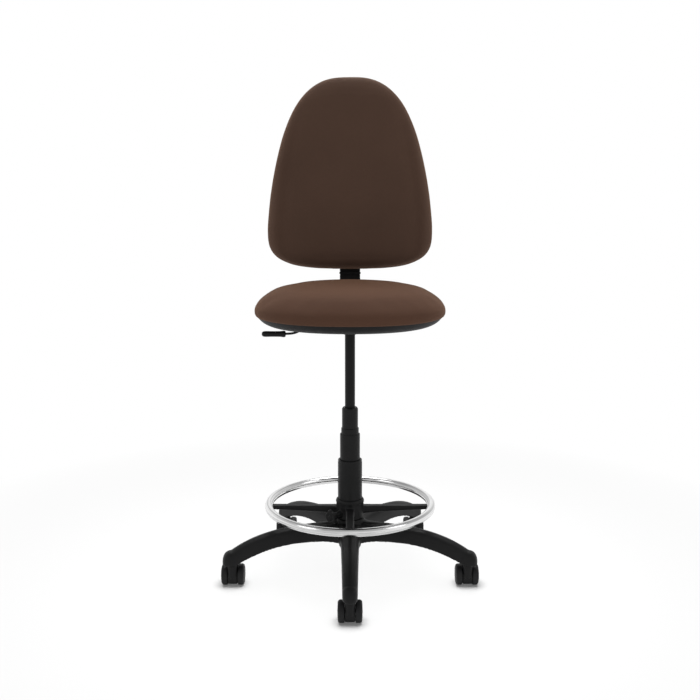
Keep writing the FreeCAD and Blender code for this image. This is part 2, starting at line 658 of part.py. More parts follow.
def buildBar():
    metal = "#bar_thickness"
    level = "#pivot_level"
    low = f"{level} - {metal} / 2"
    high = f"{level} + {metal} / 2"
    tipY = "#bar_setback + #bar_length * sin(#back_lean)"
    tipZ = f"{level} + #bar_length * cos(#back_lean)"
    side = [("#pivot_setback", low), (f"#bar_setback + {metal} - 22", low),
            (f"#bar_setback + {metal} / cos(#back_lean) + 18 * tan(#back_lean)", f"{level} + 18"),
            (f"{tipY} + {metal} * cos(#back_lean)", f"{tipZ} - {metal} * sin(#back_lean)"), (tipY, tipZ),
            ("#bar_setback + 22 * tan(#back_lean)", f"{level} + 22"), ("#bar_setback - 16", high),
            ("#pivot_setback", high)]
    strip = slab("bar_strip", side, "#bar_width")
    span = "(#channel_half_width - #sheet_metal - #clear_gap)"
    eye = rod("bar_eye", "#pivot_radius + 4", (f"-{span}", "#pivot_setback", level), f"2 * {span}", "X")
    hole = rod("bar_hole", "#pivot_radius + #running_gap", ("-60", "#pivot_setback", level), "120", "X")
    keep(cutAway("bar_cut", joined("bar_whole", [strip, eye]), [hole]), "back_bar")
    pin = rod("pivot_bar", "#pivot_radius", ("-#channel_half_width - 2", "#pivot_setback", level),
              "2 * #channel_half_width + 12", "X")
    keep(pin, "back_pivot_pin")
    knob = turned("angle_knob", [("#pivot_radius + #running_gap", "0"), ("#angle_knob_radius - 4", "0"),
                                 ("#angle_knob_radius", "4"), ("#angle_knob_radius", "14"),
                                 ("#angle_knob_radius - 2", "16"), ("0", "16"),
                                 ("0", "12"), ("#pivot_radius + #running_gap", "12")])
    place(knob, "#channel_half_width + #clear_gap", "#pivot_setback", level, Vector(0, 1, 0), 90)
    keep(knob, "angle_knob")
    wide = "(#cover_width / 2)"
    gap = "#clear_gap"
    sleeve = block("cover_outer", (f"-{wide}", "-4.8", "30"), (wide, f"{metal} + 6", "165"))
    void = block("cover_inner", (f"-#bar_width / 2 - {gap}", f"-{gap}", "20"),
                 (f"#bar_width / 2 + {gap}", f"{metal} + {gap}", "175"))
    keep(leanPlace(cutAway("cover_cut", sleeve, [void])), "bar_cover")


def buildCarrier():
    # Bracket that slides on the bar and carries the back, with its clamping knob behind.
    gap = "#clear_gap"
    low = "#carrier_rise"
    high = "(#carrier_rise + #carrier_length)"
    wing = "(#bar_width / 2 + 22.5)"
    flange = block("carrier_flange", (f"-{wing}", f"-5 - {gap}", low), (wing, f"-{gap}", high))
    rear = f"#bar_thickness + {gap} + 4"
    box = block("carrier_box", ("-#bar_width / 2 - 5", f"-{gap} - 1", low),
                ("#bar_width / 2 + 5", rear, high))
    void = block("carrier_void", (f"-#bar_width / 2 - {gap}", f"-{gap}", f"{low} - 5"),
                 (f"#bar_width / 2 + {gap}", f"#bar_thickness + {gap}", f"{high} + 5"))
    middle = f"({low} + #carrier_length / 2)"
    boss = rod("carrier_boss", "9", ("0", "#bar_thickness + 2", middle), "11", "Y")
    hole = rod("carrier_hole", "4 + #running_gap", ("0", "#bar_thickness", middle), "40", "Y")
    cuts = carrierBars("carrier_screw_hole", "2.5", "-30", "60")
    bracket = cutAway("carrier_cut", joined("carrier_whole", [flange, box, boss]), [void, hole] + cuts)
    keep(leanPlace(bracket), "back_carrier")
    knobDisc = rod("back_knob_disc", "#knob_radius", ("0", "#bar_thickness + 14", middle),
                   "#knob_depth", "Y")
    shank = rod("back_knob_shank", "4", ("0", f"#bar_thickness + {gap}", middle), "20", "Y")
    keep(leanPlace(joined("back_knob_whole", [knobDisc, shank])), "back_knob")
    shanks = carrierBars("back_shank", "2.5", f"-14 - {gap}", "14")
    heads = carrierBars("back_head", "4.5", f"-{gap}", "3")
    bolts = [joined(f"back_bolt_{n}", pair) for n, pair in enumerate(zip(shanks, heads))]
    keep(leanPlace(joined("back_bolts", bolts)), "back_screws")


def buildBack():
    # Rear shell, plywood board inside it and the cushion over both.
    rear = -(5 + size("clear_gap"))
    wall = size("sheet_metal")
    across = size("bar_width") / 2 + 13.5
    first = size("carrier_rise")
    holes = [Part.makeCylinder(2.5, 60, Vector(side * across, -30, first + rise), Vector(0, 1, 0))
             for side in (-1, 1) for rise in (20, size("carrier_length") - 20)]
    shell = backSlab(5, rear - size("shell_depth"), rear)
    shell = shell.cut(backSlab(5 + wall, rear - size("shell_depth") - 5, rear - wall))
    backFeature("back_shell", shell.cut(holes))
    boardRear = rear - wall
    boardFront = boardRear - size("board_thickness")
    backFeature("back_board", backSlab(22, boardFront, boardRear).cut(holes))
    cushion = backSlab(0, boardFront - size("back_pad"), boardFront)
    front = [edge for edge in cushion.Edges if edge.BoundBox.YMax < boardFront - 5]
    backFeature("back_cushion", cushion.makeFillet(20, front))


def checkAndWrite():
    faults = [item.Name for item in doc.Objects if {"Invalid", "Error"} & set(item.State)]
    if faults:
        raise RuntimeError("features that failed: " + ", ".join(faults))
    os.makedirs("parts", exist_ok=True)
    for thing in PARTS:
        if thing.Shape.isNull() or not thing.Shape.isValid() or thing.Shape.Volume <= 0:
            raise RuntimeError("not a sound solid: " + thing.Label)
    for thing in PARTS:
        thing.Shape.exportStep(f"parts/{thing.Label}.step")
    print(len(PARTS), "sub-parts written")


fillSheet()
buildStarBase()
buildStemSockets()
for armName, armAngle in zip(ARM_NAMES, ARM_ANGLES):
    buildCaster(armName, armAngle)
buildColumn()
buildLift()
buildFootRing()
buildMechanism()
buildLever()
buildSeat()
buildBar()
buildCarrier()
buildBack()
doc.recompute()
checkAndWrite()
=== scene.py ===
import json
import math
import bpy
import numpy as np
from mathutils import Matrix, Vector

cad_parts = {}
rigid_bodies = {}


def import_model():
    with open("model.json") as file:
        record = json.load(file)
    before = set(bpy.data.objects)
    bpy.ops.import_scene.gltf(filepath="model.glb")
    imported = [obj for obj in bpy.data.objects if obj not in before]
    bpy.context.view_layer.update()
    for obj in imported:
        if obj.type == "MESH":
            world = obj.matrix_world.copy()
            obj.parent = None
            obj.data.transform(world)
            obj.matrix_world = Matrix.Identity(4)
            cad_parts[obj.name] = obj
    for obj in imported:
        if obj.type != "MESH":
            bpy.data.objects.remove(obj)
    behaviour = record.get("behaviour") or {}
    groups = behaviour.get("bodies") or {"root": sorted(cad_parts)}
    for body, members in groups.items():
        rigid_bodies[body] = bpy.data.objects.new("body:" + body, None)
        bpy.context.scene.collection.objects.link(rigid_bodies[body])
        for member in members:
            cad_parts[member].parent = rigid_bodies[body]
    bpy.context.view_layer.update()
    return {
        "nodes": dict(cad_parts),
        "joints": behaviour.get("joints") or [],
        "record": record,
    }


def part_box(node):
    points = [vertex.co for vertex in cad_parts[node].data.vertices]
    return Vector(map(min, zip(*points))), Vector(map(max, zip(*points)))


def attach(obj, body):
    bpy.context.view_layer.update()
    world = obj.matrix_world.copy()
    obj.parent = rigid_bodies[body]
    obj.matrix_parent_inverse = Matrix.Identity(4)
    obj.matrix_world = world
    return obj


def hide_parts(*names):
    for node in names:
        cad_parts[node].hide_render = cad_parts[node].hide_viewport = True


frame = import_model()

# Adjustable swivel stool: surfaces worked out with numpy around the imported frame. Metres.

mm = 0.001
turn = 2 * math.pi


# surfaces: every shape is a set of vertices, quads and triangles, worked out as whole arrays

def facing(verts, quads, tris):
    # signed volume = sum of a . (b x c) / 6; faces are turned round when it is negative
    fans = np.concatenate([quads[:, [0, 1, 2]], quads[:, [0, 2, 3]], tris])
    a, b, c = (verts[fans[:, k]] for k in range(3))
    if np.einsum("ij,ij->", a - verts.mean(axis=0), np.cross(b - a, c - a)) < 0:
        quads, tris = quads[:, ::-1], tris[:, ::-1]
    return verts, quads, tris


def skin(grid, poles=None, ring=False):
    # rows of closed loops; neighbouring rows are joined by quads, and each end row by a fan to its
    # pole, or with ring=True the last row is joined to the first
    rows, cols = grid.shape[:2]
    index = np.arange(rows * cols).reshape(rows, cols)
    after = np.roll(index, -1, axis=1)
    lower, lowerAfter, upper, upperAfter = index[:-1], after[:-1], index[1:], after[1:]
    if ring:
        lower, lowerAfter = index, after
        upper, upperAfter = np.roll(index, -1, axis=0), np.roll(after, -1, axis=0)
    quads = np.stack([lower, lowerAfter, upperAfter, upper], axis=-1).reshape(-1, 4)
    verts = grid.reshape(-1, 3)
    tris = np.zeros((0, 3), int)
    if not ring:
        if poles is None:
            poles = [grid[0].mean(axis=0), grid[-1].mean(axis=0)]
        verts = np.concatenate([verts, np.array(poles)])
        first = np.full(cols, rows * cols)
        tris = np.concatenate([np.stack([after[0], index[0], first], axis=-1),
                               np.stack([index[-1], after[-1], first + 1], axis=-1)])
    return facing(verts, quads, tris)


def eased(points, reach, steps=5, closed=True):
    # each corner p becomes (1-t)^2 a + 2t(1-t) p + t^2 b, with a and b on its two sides at a distance reach
    points = np.asarray(points, float)
    before, ahead = np.roll(points, 1, axis=-2), np.roll(points, -1, axis=-2)
    toBefore, toAhead = before - points, ahead - points
    lengthBefore = np.linalg.norm(toBefore, axis=-1, keepdims=True)
    lengthAhead = np.linalg.norm(toAhead, axis=-1, keepdims=True)
    a = points + toBefore * np.minimum(reach / np.maximum(lengthBefore, 1e-9), 0.48)
    b = points + toAhead * np.minimum(reach / np.maximum(lengthAhead, 1e-9), 0.48)
    t = np.linspace(0, 1, steps)[:, None]
    curve = (1 - t) ** 2 * a[..., None, :] + 2 * t * (1 - t) * points[..., None, :] + t ** 2 * b[..., None, :]
    if not closed:
        curve[..., 0, :, :] = points[..., 0, None, :]
        curve[..., -1, :, :] = points[..., -1, None, :]
        curve = curve.reshape(*points.shape[:-2], -1, points.shape[-1])
        return curve[..., steps - 1:curve.shape[-2] - steps + 1, :]
    return curve.reshape(*points.shape[:-2], -1, points.shape[-1])


def turned(profile, steps=96, reach=1.2 * mm, hollow=False, lobes=0, depth=0.0):
    # profile points (radius, height) carried round Z: x = r cos a, y = r sin a; with lobes,
    # r is made smaller by depth * (1 + cos(lobes * a)) / 2 in proportion to r
    angle = np.arange(steps) * turn / steps
    line = eased(profile, reach, closed=hollow)
    shrink = 1 - depth * (1 + np.cos(lobes * angle)) / 2
    radius = line[:, None, 0] * shrink[None, :]
    grid = np.stack([radius * np.cos(angle), radius * np.sin(angle),
                     np.broadcast_to(line[:, None, 1], radius.shape)], axis=-1)
    if hollow:
        return skin(grid, ring=True)
    poles = [(0, 0, line[0, 1]), (0, 0, line[-1, 1])]
    inside = line[:, 0] > 1e-7
    return skin(grid[inside], poles=poles)


def moved(solid, origin=(0, 0, 0), right=(1, 0, 0), ahead=(0, 1, 0), up=(0, 0, 1)):
    # p = origin + x * right + y * ahead + z * up
    verts, quads, tris = solid
    basis = np.array([right, ahead, up], float)
    return facing(verts @ basis + np.array(origin, float), quads, tris)


def sections(corners):
    # corners (a, b), each with a value for every section, become closed loops of points
    return np.stack([np.stack(np.broadcast_arrays(a, b), axis=-1) for a, b in corners], axis=1)


def strung(places, loops):
    # loops (a, b) set along X: points (place, a, b)
    along = np.broadcast_to(places[:, None], loops.shape[:2])
    return np.stack([along, loops[..., 0], loops[..., 1]], axis=-1)


def swept(path, radius, steps=16):
    # a round bar: circles of that radius across the path, in the plane of the path's side and up vectors
    path = np.asarray(path, float)
    along = np.gradient(path, axis=0)
    along /= np.linalg.norm(along, axis=1, keepdims=True)
    side = np.cross(along, [0, 1, 0])
    side /= np.linalg.norm(side, axis=1, keepdims=True)
    up = np.cross(side, along)
    angle = np.arange(steps) * turn / steps
    radius = np.broadcast_to(np.asarray(radius, float), len(path))
    ring = side[:, None, :] * np.cos(angle)[None, :, None] + up[:, None, :] * np.sin(angle)[None, :, None]
    return skin(path[:, None, :] + ring * radius[:, None, None])


def pairUp(solids):
    # several solids as one set of vertices and faces
    shift = np.cumsum([0] + [len(s[0]) for s in solids[:-1]])
    return (np.concatenate([s[0] for s in solids]),
            np.concatenate([s[1] + k for s, k in zip(solids, shift)]),
            np.concatenate([s[2] + k for s, k in zip(solids, shift)]))


def shade(mesh, angle=40):
    mesh.polygons.foreach_set("use_smooth", np.ones(len(mesh.polygons), bool))
    mesh.set_sharp_from_angle(angle=math.radians(angle))


def makePiece(name, solids, body, material, replaced=(), sharp=40):
    verts, quads, tris = pairUp(solids)
    mesh = bpy.data.meshes.new(name)
    mesh.from_pydata(verts.tolist(), [], quads.tolist() + tris.tolist())
    shade(mesh, sharp)
    piece = bpy.data.objects.new(name, mesh)
    bpy.context.scene.collection.objects.link(piece)
    mesh.materials.append(material)
    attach(piece, body)
    if replaced:
        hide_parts(*replaced)
    return piece


def pointsOf(mesh):
    flat = np.zeros(len(mesh.vertices) * 3)
    mesh.vertices.foreach_get("co", flat)
    return flat.reshape(-1, 3)


def settle(piece):
    # the piece's modifiers are worked out and become its mesh
    ready = bpy.data.meshes.new_from_object(piece.evaluated_get(bpy.context.evaluated_depsgraph_get()))
    piece.modifiers.clear()
    piece.data = ready
    return piece


def mould(piece, voxel, rounds=4):
    # overlapping solids become one skin of cubes of that size, smoothed so that inner corners get fillets
    remesh = piece.modifiers.new("remesh", "REMESH")
    remesh.mode = "VOXEL"
    remesh.voxel_size = voxel
    smooth = piece.modifiers.new("smooth", "SMOOTH")
    smooth.factor = 0.5
    smooth.iterations = rounds
    settle(piece)
    shade(piece.data, 60)
    return piece


# finishes

look = {
    # seat and back are one fabric: the seat's brown is warmer and a little lighter than the back's, painted
    # to match its lit top
    "litSeatBrown": (0.084, 0.041, 0.0255),
    "backBrown": (0.074, 0.041, 0.028),
    "pitch": 1.5 * mm,
    "sheen": {"weight": 0.12, "roughness": 0.4, "tint": (0.95, 0.5, 0.27)},
    "black": (0.0045, 0.0045, 0.0047),
    "gloss": 0.17,             # how much the black finishes mirror, 0.5 is a plain glossy plastic
}


def newMaterial(name, colour, roughness, metallic=0.0):
    material = bpy.data.materials.new(name)
    material.use_nodes = True
    shader = material.node_tree.nodes["Principled BSDF"]
    shader.inputs["Base Color"].default_value = (*colour, 1)
    shader.inputs["Roughness"].default_value = roughness
    shader.inputs["Metallic"].default_value = metallic
    return material, material.node_tree, shader


def mathNode(tree, operation, first, second=None):
    node = tree.nodes.new("ShaderNodeMath")
    node.operation = operation
    for socket, value in zip(node.inputs, (first, second)):
        if value is None:
            continue
        if isinstance(value, (int, float)):
            socket.default_value = value
        else:
            tree.links.new(value, socket)
    return node.outputs[0]


def noise(tree, scale, detail=3.0, rough=0.5, source=None):
    node = tree.nodes.new("ShaderNodeTexNoise")
    node.inputs["Scale"].default_value = scale
    node.inputs["Detail"].default_value = detail
    node.inputs["Roughness"].default_value = rough
    if source is None:
        source = tree.nodes.new("ShaderNodeTexCoord").outputs["Object"]
    tree.links.new(source, node.inputs["Vector"])
    return node.outputs["Fac"]


def ramp(tree, factor, low, high, lowColour, highColour):
    node = tree.nodes.new("ShaderNodeValToRGB")
    node.color_ramp.elements[0].position = low
    node.color_ramp.elements[1].position = high
    node.color_ramp.elements[0].color = (*lowColour, 1)
    node.color_ramp.elements[1].color = (*highColour, 1)
    tree.links.new(factor, node.inputs["Fac"])
    return node.outputs["Color"]


def span(tree, factor, low, high):
    # factor 0..1 becomes low..high
    return mathNode(tree, "ADD", mathNode(tree, "MULTIPLY", factor, high - low), low)


def bump(tree, shader, height, strength, distance):
    node = tree.nodes.new("ShaderNodeBump")
    node.inputs["Strength"].default_value = strength
    node.inputs["Distance"].default_value = distance
    tree.links.new(height, node.inputs["Height"])
    tree.links.new(node.outputs["Normal"], shader.inputs["Normal"])


def mixColours(tree, factor, first, second, blend="MIX"):
    node = tree.nodes.new("ShaderNodeMix")
    node.data_type = "RGBA"
    node.blend_type = blend
    if isinstance(factor, float):
        node.inputs[0].default_value = factor
    else:
        tree.links.new(factor, node.inputs[0])
    for socket, value in ((node.inputs[6], first), (node.inputs[7], second)):
        if isinstance(value, tuple):
            socket.default_value = (*value, 1)
        else:
            tree.links.new(value, socket)
    return node.outputs[2]


def clouded(tree, shader, scale, detail, roughness, spread):
    # roughness that drifts by spread either way
    drift = span(tree, noise(tree, scale, detail), roughness - spread, roughness + spread)
    tree.links.new(drift, shader.inputs["Roughness"])


def worn(tree, base, edgeColour, low=0.52, high=0.6):
    # edges rubbed lighter where the surface is most convex
    pointed = tree.nodes.new("ShaderNodeNewGeometry").outputs["Pointiness"]
    edge = ramp(tree, pointed, low, high, (0, 0, 0), (1, 1, 1))
    return mixColours(tree, edge, base, edgeColour)


def plastic(name, colour, roughness, grain=1600, relief=0.12, wear=1.5):
    # moulded plastic: cloudy tone, fine pebbled grain, rubbed edges
    material, tree, shader = newMaterial(name, colour, roughness)
    shader.inputs["Specular IOR Level"].default_value = look["gloss"]
    tone = np.array(colour)
    cloudy = ramp(tree, noise(tree, 18, 4), 0.3, 0.7, tuple(tone * 0.8), tuple(tone * 1.2))
    tree.links.new(worn(tree, cloudy, tuple(np.minimum(tone * wear, 1))), shader.inputs["Base Color"])
    clouded(tree, shader, 40, 5, roughness, 0.08)
    bump(tree, shader, noise(tree, grain, 2), relief, 0.0004)
    return material


def coated(name, colour, roughness):
    # powder-coated steel: slight orange peel and dust in the finish
    material, tree, shader = newMaterial(name, colour, roughness)
    shader.inputs["Specular IOR Level"].default_value = look["gloss"]
    tone = np.array(colour)
    cloudy = ramp(tree, noise(tree, 30, 5), 0.35, 0.65, tuple(tone * 0.85), tuple(tone * 1.2))
    tree.links.new(worn(tree, cloudy, tuple(tone * 2.0)), shader.inputs["Base Color"])
    clouded(tree, shader, 60, 4, roughness, 0.07)
    bump(tree, shader, noise(tree, 700, 2), 0.1, 0.0005)
    return material


def metal(name, colour, roughness, streak=(1, 1, 1), relief=0.03, paintedReflectionTone=0.0):
    # bare or plated metal, with fine streaks drawn out along the axes where streak is small; the reflection
    # tone is the tone of darker streaks round the upright axis, painted reflections of dark surroundings, by
    # noise over sqrt(x^2 + y^2), z and a fiftieth of x
    material, tree, shader = newMaterial(name, colour, roughness, 1.0)
    mapping = tree.nodes.new("ShaderNodeMapping")
    mapping.inputs["Scale"].default_value = streak
    tree.links.new(tree.nodes.new("ShaderNodeTexCoord").outputs["Object"], mapping.inputs["Vector"])
    grain = noise(tree, 900, 3, source=mapping.outputs["Vector"])
    smear = noise(tree, 25, 4)
    tone = np.array(colour)
    smeared = ramp(tree, smear, 0.3, 0.7, tuple(tone * 0.93), tuple(np.minimum(tone * 1.05, 1)))
    # painted reflection: dark streaks round the upright axis stand in for a darker room mirrored in the metal
    if paintedReflectionTone:
        place = tree.nodes.new("ShaderNodeSeparateXYZ")
        tree.links.new(tree.nodes.new("ShaderNodeTexCoord").outputs["Object"], place.inputs[0])
        x, y, z = place.outputs
        squares = [mathNode(tree, "MULTIPLY", axis, axis) for axis in (x, y)]
        away = mathNode(tree, "SQRT", mathNode(tree, "ADD", *squares))
        spot = tree.nodes.new("ShaderNodeCombineXYZ")
        for socket, value in zip(spot.inputs, (away, z, mathNode(tree, "MULTIPLY", x, 0.02))):
            tree.links.new(value, socket)
        paintedReflections = ramp(tree, noise(tree, 190, 4, 0.6, spot.outputs[0]), 0.42, 0.6, (paintedReflectionTone,) * 3, (1, 1, 1))
        smeared = mixColours(tree, 1.0, smeared, paintedReflections, "MULTIPLY")
    tree.links.new(smeared, shader.inputs["Base Color"])
    tree.links.new(span(tree, smear, roughness * 0.75, roughness * 1.25), shader.inputs["Roughness"])
    bump(tree, shader, grain, relief, 0.0002)
    return material


def weaveHeight(tree, first, second, pitch):
    # plain weave: h = sin(pi a / pitch) * sin(pi b / pitch), high where a thread crosses over
    turns = [mathNode(tree, "MULTIPLY", axis, math.pi / pitch) for axis in (first, second)]
    return mathNode(tree, "MULTIPLY", *(mathNode(tree, "SINE", angle) for angle in turns))


def cloth(name, colour, pitch, sheen):
    # woven upholstery: the weave lies in whichever plane the surface faces, with a mottled yarn and painted
    # shade in the weave's low places
    material, tree, shader = newMaterial(name, colour, 0.9)
    spot = tree.nodes.new("ShaderNodeTexCoord")
    place = tree.nodes.new("ShaderNodeSeparateXYZ")
    tree.links.new(spot.outputs["Object"], place.inputs[0])
    normal = tree.nodes.new("ShaderNodeSeparateXYZ")
    tree.links.new(spot.outputs["Normal"], normal.inputs[0])
    x, y, z = place.outputs
    total, weight = None, None
    for facingAxis, first, second in ((0, y, z), (1, x, z), (2, x, y)):
        share = mathNode(tree, "POWER", mathNode(tree, "ABSOLUTE", normal.outputs[facingAxis]), 6.0)
        height = mathNode(tree, "MULTIPLY", weaveHeight(tree, first, second, pitch), share)
        total = height if total is None else mathNode(tree, "ADD", total, height)
        weight = share if weight is None else mathNode(tree, "ADD", weight, share)
    weave = mathNode(tree, "DIVIDE", total, mathNode(tree, "ADD", weight, 0.001))
    level = span(tree, weave, 0.5, 1.0)
    tone = np.array(colour)
    yarn = ramp(tree, noise(tree, 900, 3, 0.7), 0.3, 0.7, tuple(tone * 0.72), tuple(tone * 1.28))
    broad = ramp(tree, noise(tree, 7, 3), 0.3, 0.7, (0.9, 0.9, 0.9), (1.08, 1.08, 1.08))
    mottled = mixColours(tree, 1.0, yarn, broad, "MULTIPLY")
    # the weave's low places are painted darker: painted shade between the threads
    shaded = mixColours(tree, level, tuple(tone * 0.6), mottled)
    tree.links.new(shaded, shader.inputs["Base Color"])
    shader.inputs["Sheen Weight"].default_value = sheen["weight"]
    shader.inputs["Sheen Roughness"].default_value = sheen["roughness"]
    shader.inputs["Sheen Tint"].default_value = (*sheen["tint"], 1)
    shader.inputs["Specular IOR Level"].default_value = 0.15
    fuzz = mathNode(tree, "ADD", level, mathNode(tree, "MULTIPLY", noise(tree, 2500, 2), 0.5))
    bump(tree, shader, fuzz, 0.35, 0.0006)
    return material


def timber(name, colour):
    # beech plywood: long grain and paler and darker plies up its thickness
    material, tree, shader = newMaterial(name, colour, 0.6)
    mapping = tree.nodes.new("ShaderNodeMapping")
    mapping.inputs["Scale"].default_value = (1, 12, 12)
    tree.links.new(tree.nodes.new("ShaderNodeTexCoord").outputs["Object"], mapping.inputs["Vector"])
    grain = noise(tree, 30, 6, 0.6, mapping.outputs["Vector"])
    tone = np.array(colour)
    tree.links.new(ramp(tree, grain, 0.3, 0.7, tuple(tone * 0.7), tuple(np.minimum(tone * 1.15, 1))),
                   shader.inputs["Base Color"])
    bump(tree, shader, grain, 0.2, 0.0004)
    return material


baseNylon = plastic("baseNylon", look["black"], 0.5, relief=0.1)
casterNylon = plastic("casterNylon", look["black"], 0.45, relief=0.05)
wheelNylon = plastic("wheelNylon", (0.009, 0.009, 0.0095), 0.5, relief=0.08, wear=2.2)
shellPlastic = plastic("shellPlastic", (0.0035, 0.0035, 0.0037), 0.6, grain=900, relief=0.25)
knobPlastic = plastic("knobPlastic", look["black"], 0.5, grain=1200, relief=0.2)
acetal = plastic("acetal", look["black"], 0.4, relief=0.03)
paleAcetal = plastic("paleAcetal", (0.6, 0.6, 0.57), 0.45, relief=0.03, wear=1.1)
rubber = plastic("rubber", (0.02, 0.02, 0.02), 0.8, grain=600)
blackSteel = coated("blackSteel", look["black"], 0.42)
tubeSteel = coated("tubeSteel", (0.0025, 0.0025, 0.0026), 0.5)
leverSteel = coated("leverSteel", look["black"], 0.35)
# chrome: its darker streaks round the upright axis are painted reflections
chrome = metal("chrome", (0.82, 0.82, 0.82), 0.16, relief=0.02, paintedReflectionTone=0.6)
zincSteel = metal("zincSteel", (0.55, 0.56, 0.56), 0.32)
groundSteel = metal("groundSteel", (0.6, 0.6, 0.6), 0.22, streak=(1, 1, 0.05))
plywood = timber("plywood", (0.5, 0.33, 0.18))
seatFabric = cloth("seatFabric", look["litSeatBrown"], look["pitch"], look["sheen"])
backFabric = cloth("backFabric", look["backBrown"], look["pitch"], look["sheen"])

finishes = {
    "base_nylon": baseNylon, "caster_nylon": casterNylon, "wheel_nylon": wheelNylon,
    "black_steel": blackSteel, "black_acetal": acetal, "pad_acetal": paleAcetal,
    "bearing_steel": groundSteel, "zinc_steel": zincSteel, "lever_steel": leverSteel,
    "rubber": rubber, "chrome": chrome, "knob_plastic": knobPlastic, "shell_plastic": shellPlastic,
    "plywood": plywood, "seat_fabric": seatFabric, "back_fabric": backFabric,
}


def dressFrame():
    # every CAD node gets the finish of its slot in the record
    for row in frame["record"]["subparts"]:
        slots = frame["nodes"][row["node"]].data.materials
        slots.clear()
        slots.append(finishes[row["material_slot"]])


dressFrame()
print("materials done")


# star base: five arms with their legs, and the hub, as one moulding

armNames = ["front", "front_right", "rear_right", "rear_left", "front_left"]
armTurns = [math.radians(a) for a in (-90, -18, 54, 126, 198)]

starBase = {
    "voxel": 2.2 * mm,
    "ridge": 1.6 * mm,         # height of the raised rib along each arm
    "wall": 4.5 * mm,
    "endWidth": 35 * mm,
    "boss": 13 * mm,           # the leg under each arm's end, round the caster's stem
    "taper": 0.05,             # how fast the arm widens towards the hub
    "flare": 18 * mm,          # how far its top spreads where it meets the hub
    "archTop": 139.7 * mm,
    "archDrop": 46 * mm,
    "bellyTop": 99.5 * mm,     # underside at its highest
    "bellyAt": 141 * mm,
    "nose": 23.5 * mm,         # how far the rounded end reaches past the stem
    "foot": 59.8 * mm,
    "start": 27 * mm,
    "legLow": 61 * mm,         # the leg's two ends
    "legHigh": 84 * mm,
    "hubBore": 25.1 * mm,
    "hubOuter": 37 * mm,
    "ribs": 6,                 # thin cross ribs in each arm's channel, leaning one way and then the other
    "ribLean": 9 * mm,
    "ribHalf": 16 * mm,
}


def armShape(facts, reach):
    # top    z = archTop - archDrop (r/reach)^4, then a superellipse of power 2.5 down the nose
    # bottom z = bellyTop - 25 ((r - bellyAt)/125)^2 outwards, and -13 ((bellyAt - r)/109)^3 inwards
    nose, foot = facts["nose"], facts["foot"]
    tip = reach + nose * np.sin(np.linspace(0.06, 1.5, 14))
    r = np.concatenate([np.linspace(facts["start"], reach, 56), tip])
    beyond = np.clip((r - reach) / nose, 0, 1)
    rounded = (1 - beyond ** 2.5) ** 0.4
    top = facts["archTop"] - facts["archDrop"] * (np.minimum(r, reach) / reach) ** 4
    top = foot + (top - foot) * np.where(r > reach, rounded, 1)
    outward = np.maximum(r - facts["bellyAt"], 0) / (125 * mm)
    inward = np.maximum(facts["bellyAt"] - r, 0) / (109 * mm)
    bottom = facts["bellyTop"] - 25 * mm * outward ** 2 - 13 * mm * inward ** 3
    bottom = np.minimum(np.maximum(bottom, foot), top - 0.5 * mm)
    base = (facts["endWidth"] + facts["taper"] * np.maximum(reach - r, 0)) / 2 * rounded
    flare = facts["flare"] * np.exp(-(r - facts["start"]) / (14 * mm))
    return r, top, bottom, base, base + flare


def armLoops(facts, reach):
    # a channel section: two walls with a crowned roof, a raised rib along the middle
    r, top, bottom, base, half = armShape(facts, reach)
    roof = np.where(r < reach - 22 * mm, np.maximum(top - facts["wall"] - 7 * mm, bottom), bottom)
    ease = np.clip((r - 45 * mm) / (20 * mm), 0, 1) * np.clip((reach - 22 * mm - r) / (6 * mm), 0, 1)
    roof = bottom + (roof - bottom) * ease
    wall = np.minimum(facts["wall"], base * 0.5)
    rib = facts["ridge"] * np.clip((reach + 10 * mm - r) / (30 * mm), 0, 1)
    depth = top - bottom
    right = [(half * 0.24, top + rib), (half * 0.34, top), (half * 0.62, top - depth * 0.035),
             (half * 0.9, top - depth * 0.18), (half, bottom + depth * 0.5), (base, bottom),
             (base - wall, bottom), (base - wall * 1.3, roof)]
    left = [(-across, up) for across, up in reversed(right)]
    return r, eased(sections(right + left), 3 * mm, steps=3)


def ribPlate(place, lean, floor, roof, half):
    # a slanted plate across the arm, 2.4 mm thick
    thick = 1.2 * mm
    plan = np.array([(place - lean - thick, -half), (place - lean + thick, -half),
                     (place + lean + thick, half), (place + lean - thick, half)])
    heights = np.broadcast_to(np.array([floor, roof])[:, None, None], (2, 4, 1))
    return skin(np.concatenate([np.broadcast_to(plan, (2, 4, 2)), heights], axis=-1))


def crossRibs(facts, reach, r, bottom):
    # each from 2 mm over the arm's lower edge to 6 mm under its top
    solids = []
    for k, place in enumerate(np.linspace(70 * mm, reach - 45 * mm, facts["ribs"])):
        lean = facts["ribLean"] * (-1) ** k
        floor = np.interp(place, r, bottom) + 2 * mm
        roof = facts["archTop"] - facts["archDrop"] * (place / reach) ** 4 - 6 * mm
        solids.append(ribPlate(place, lean, floor, roof, facts["ribHalf"]))
    return solids


def hubSolid(facts):
    # a tapered skirt, a straight wall and a rounded top, bored for the column
    low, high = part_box("star_base")
    bore, outer = facts["hubBore"], facts["hubOuter"]
    profile = [(bore, low[2] + 10 * mm), (bore + 2.5 * mm, low[2] + 10 * mm),
               (outer - 7 * mm, low[2] + 28 * mm), (outer, low[2] + 50 * mm), (outer, high[2] - 8 * mm),
               (outer - 1.5 * mm, high[2]), (bore, high[2])]
    return turned(profile, 96, 3 * mm, hollow=True)


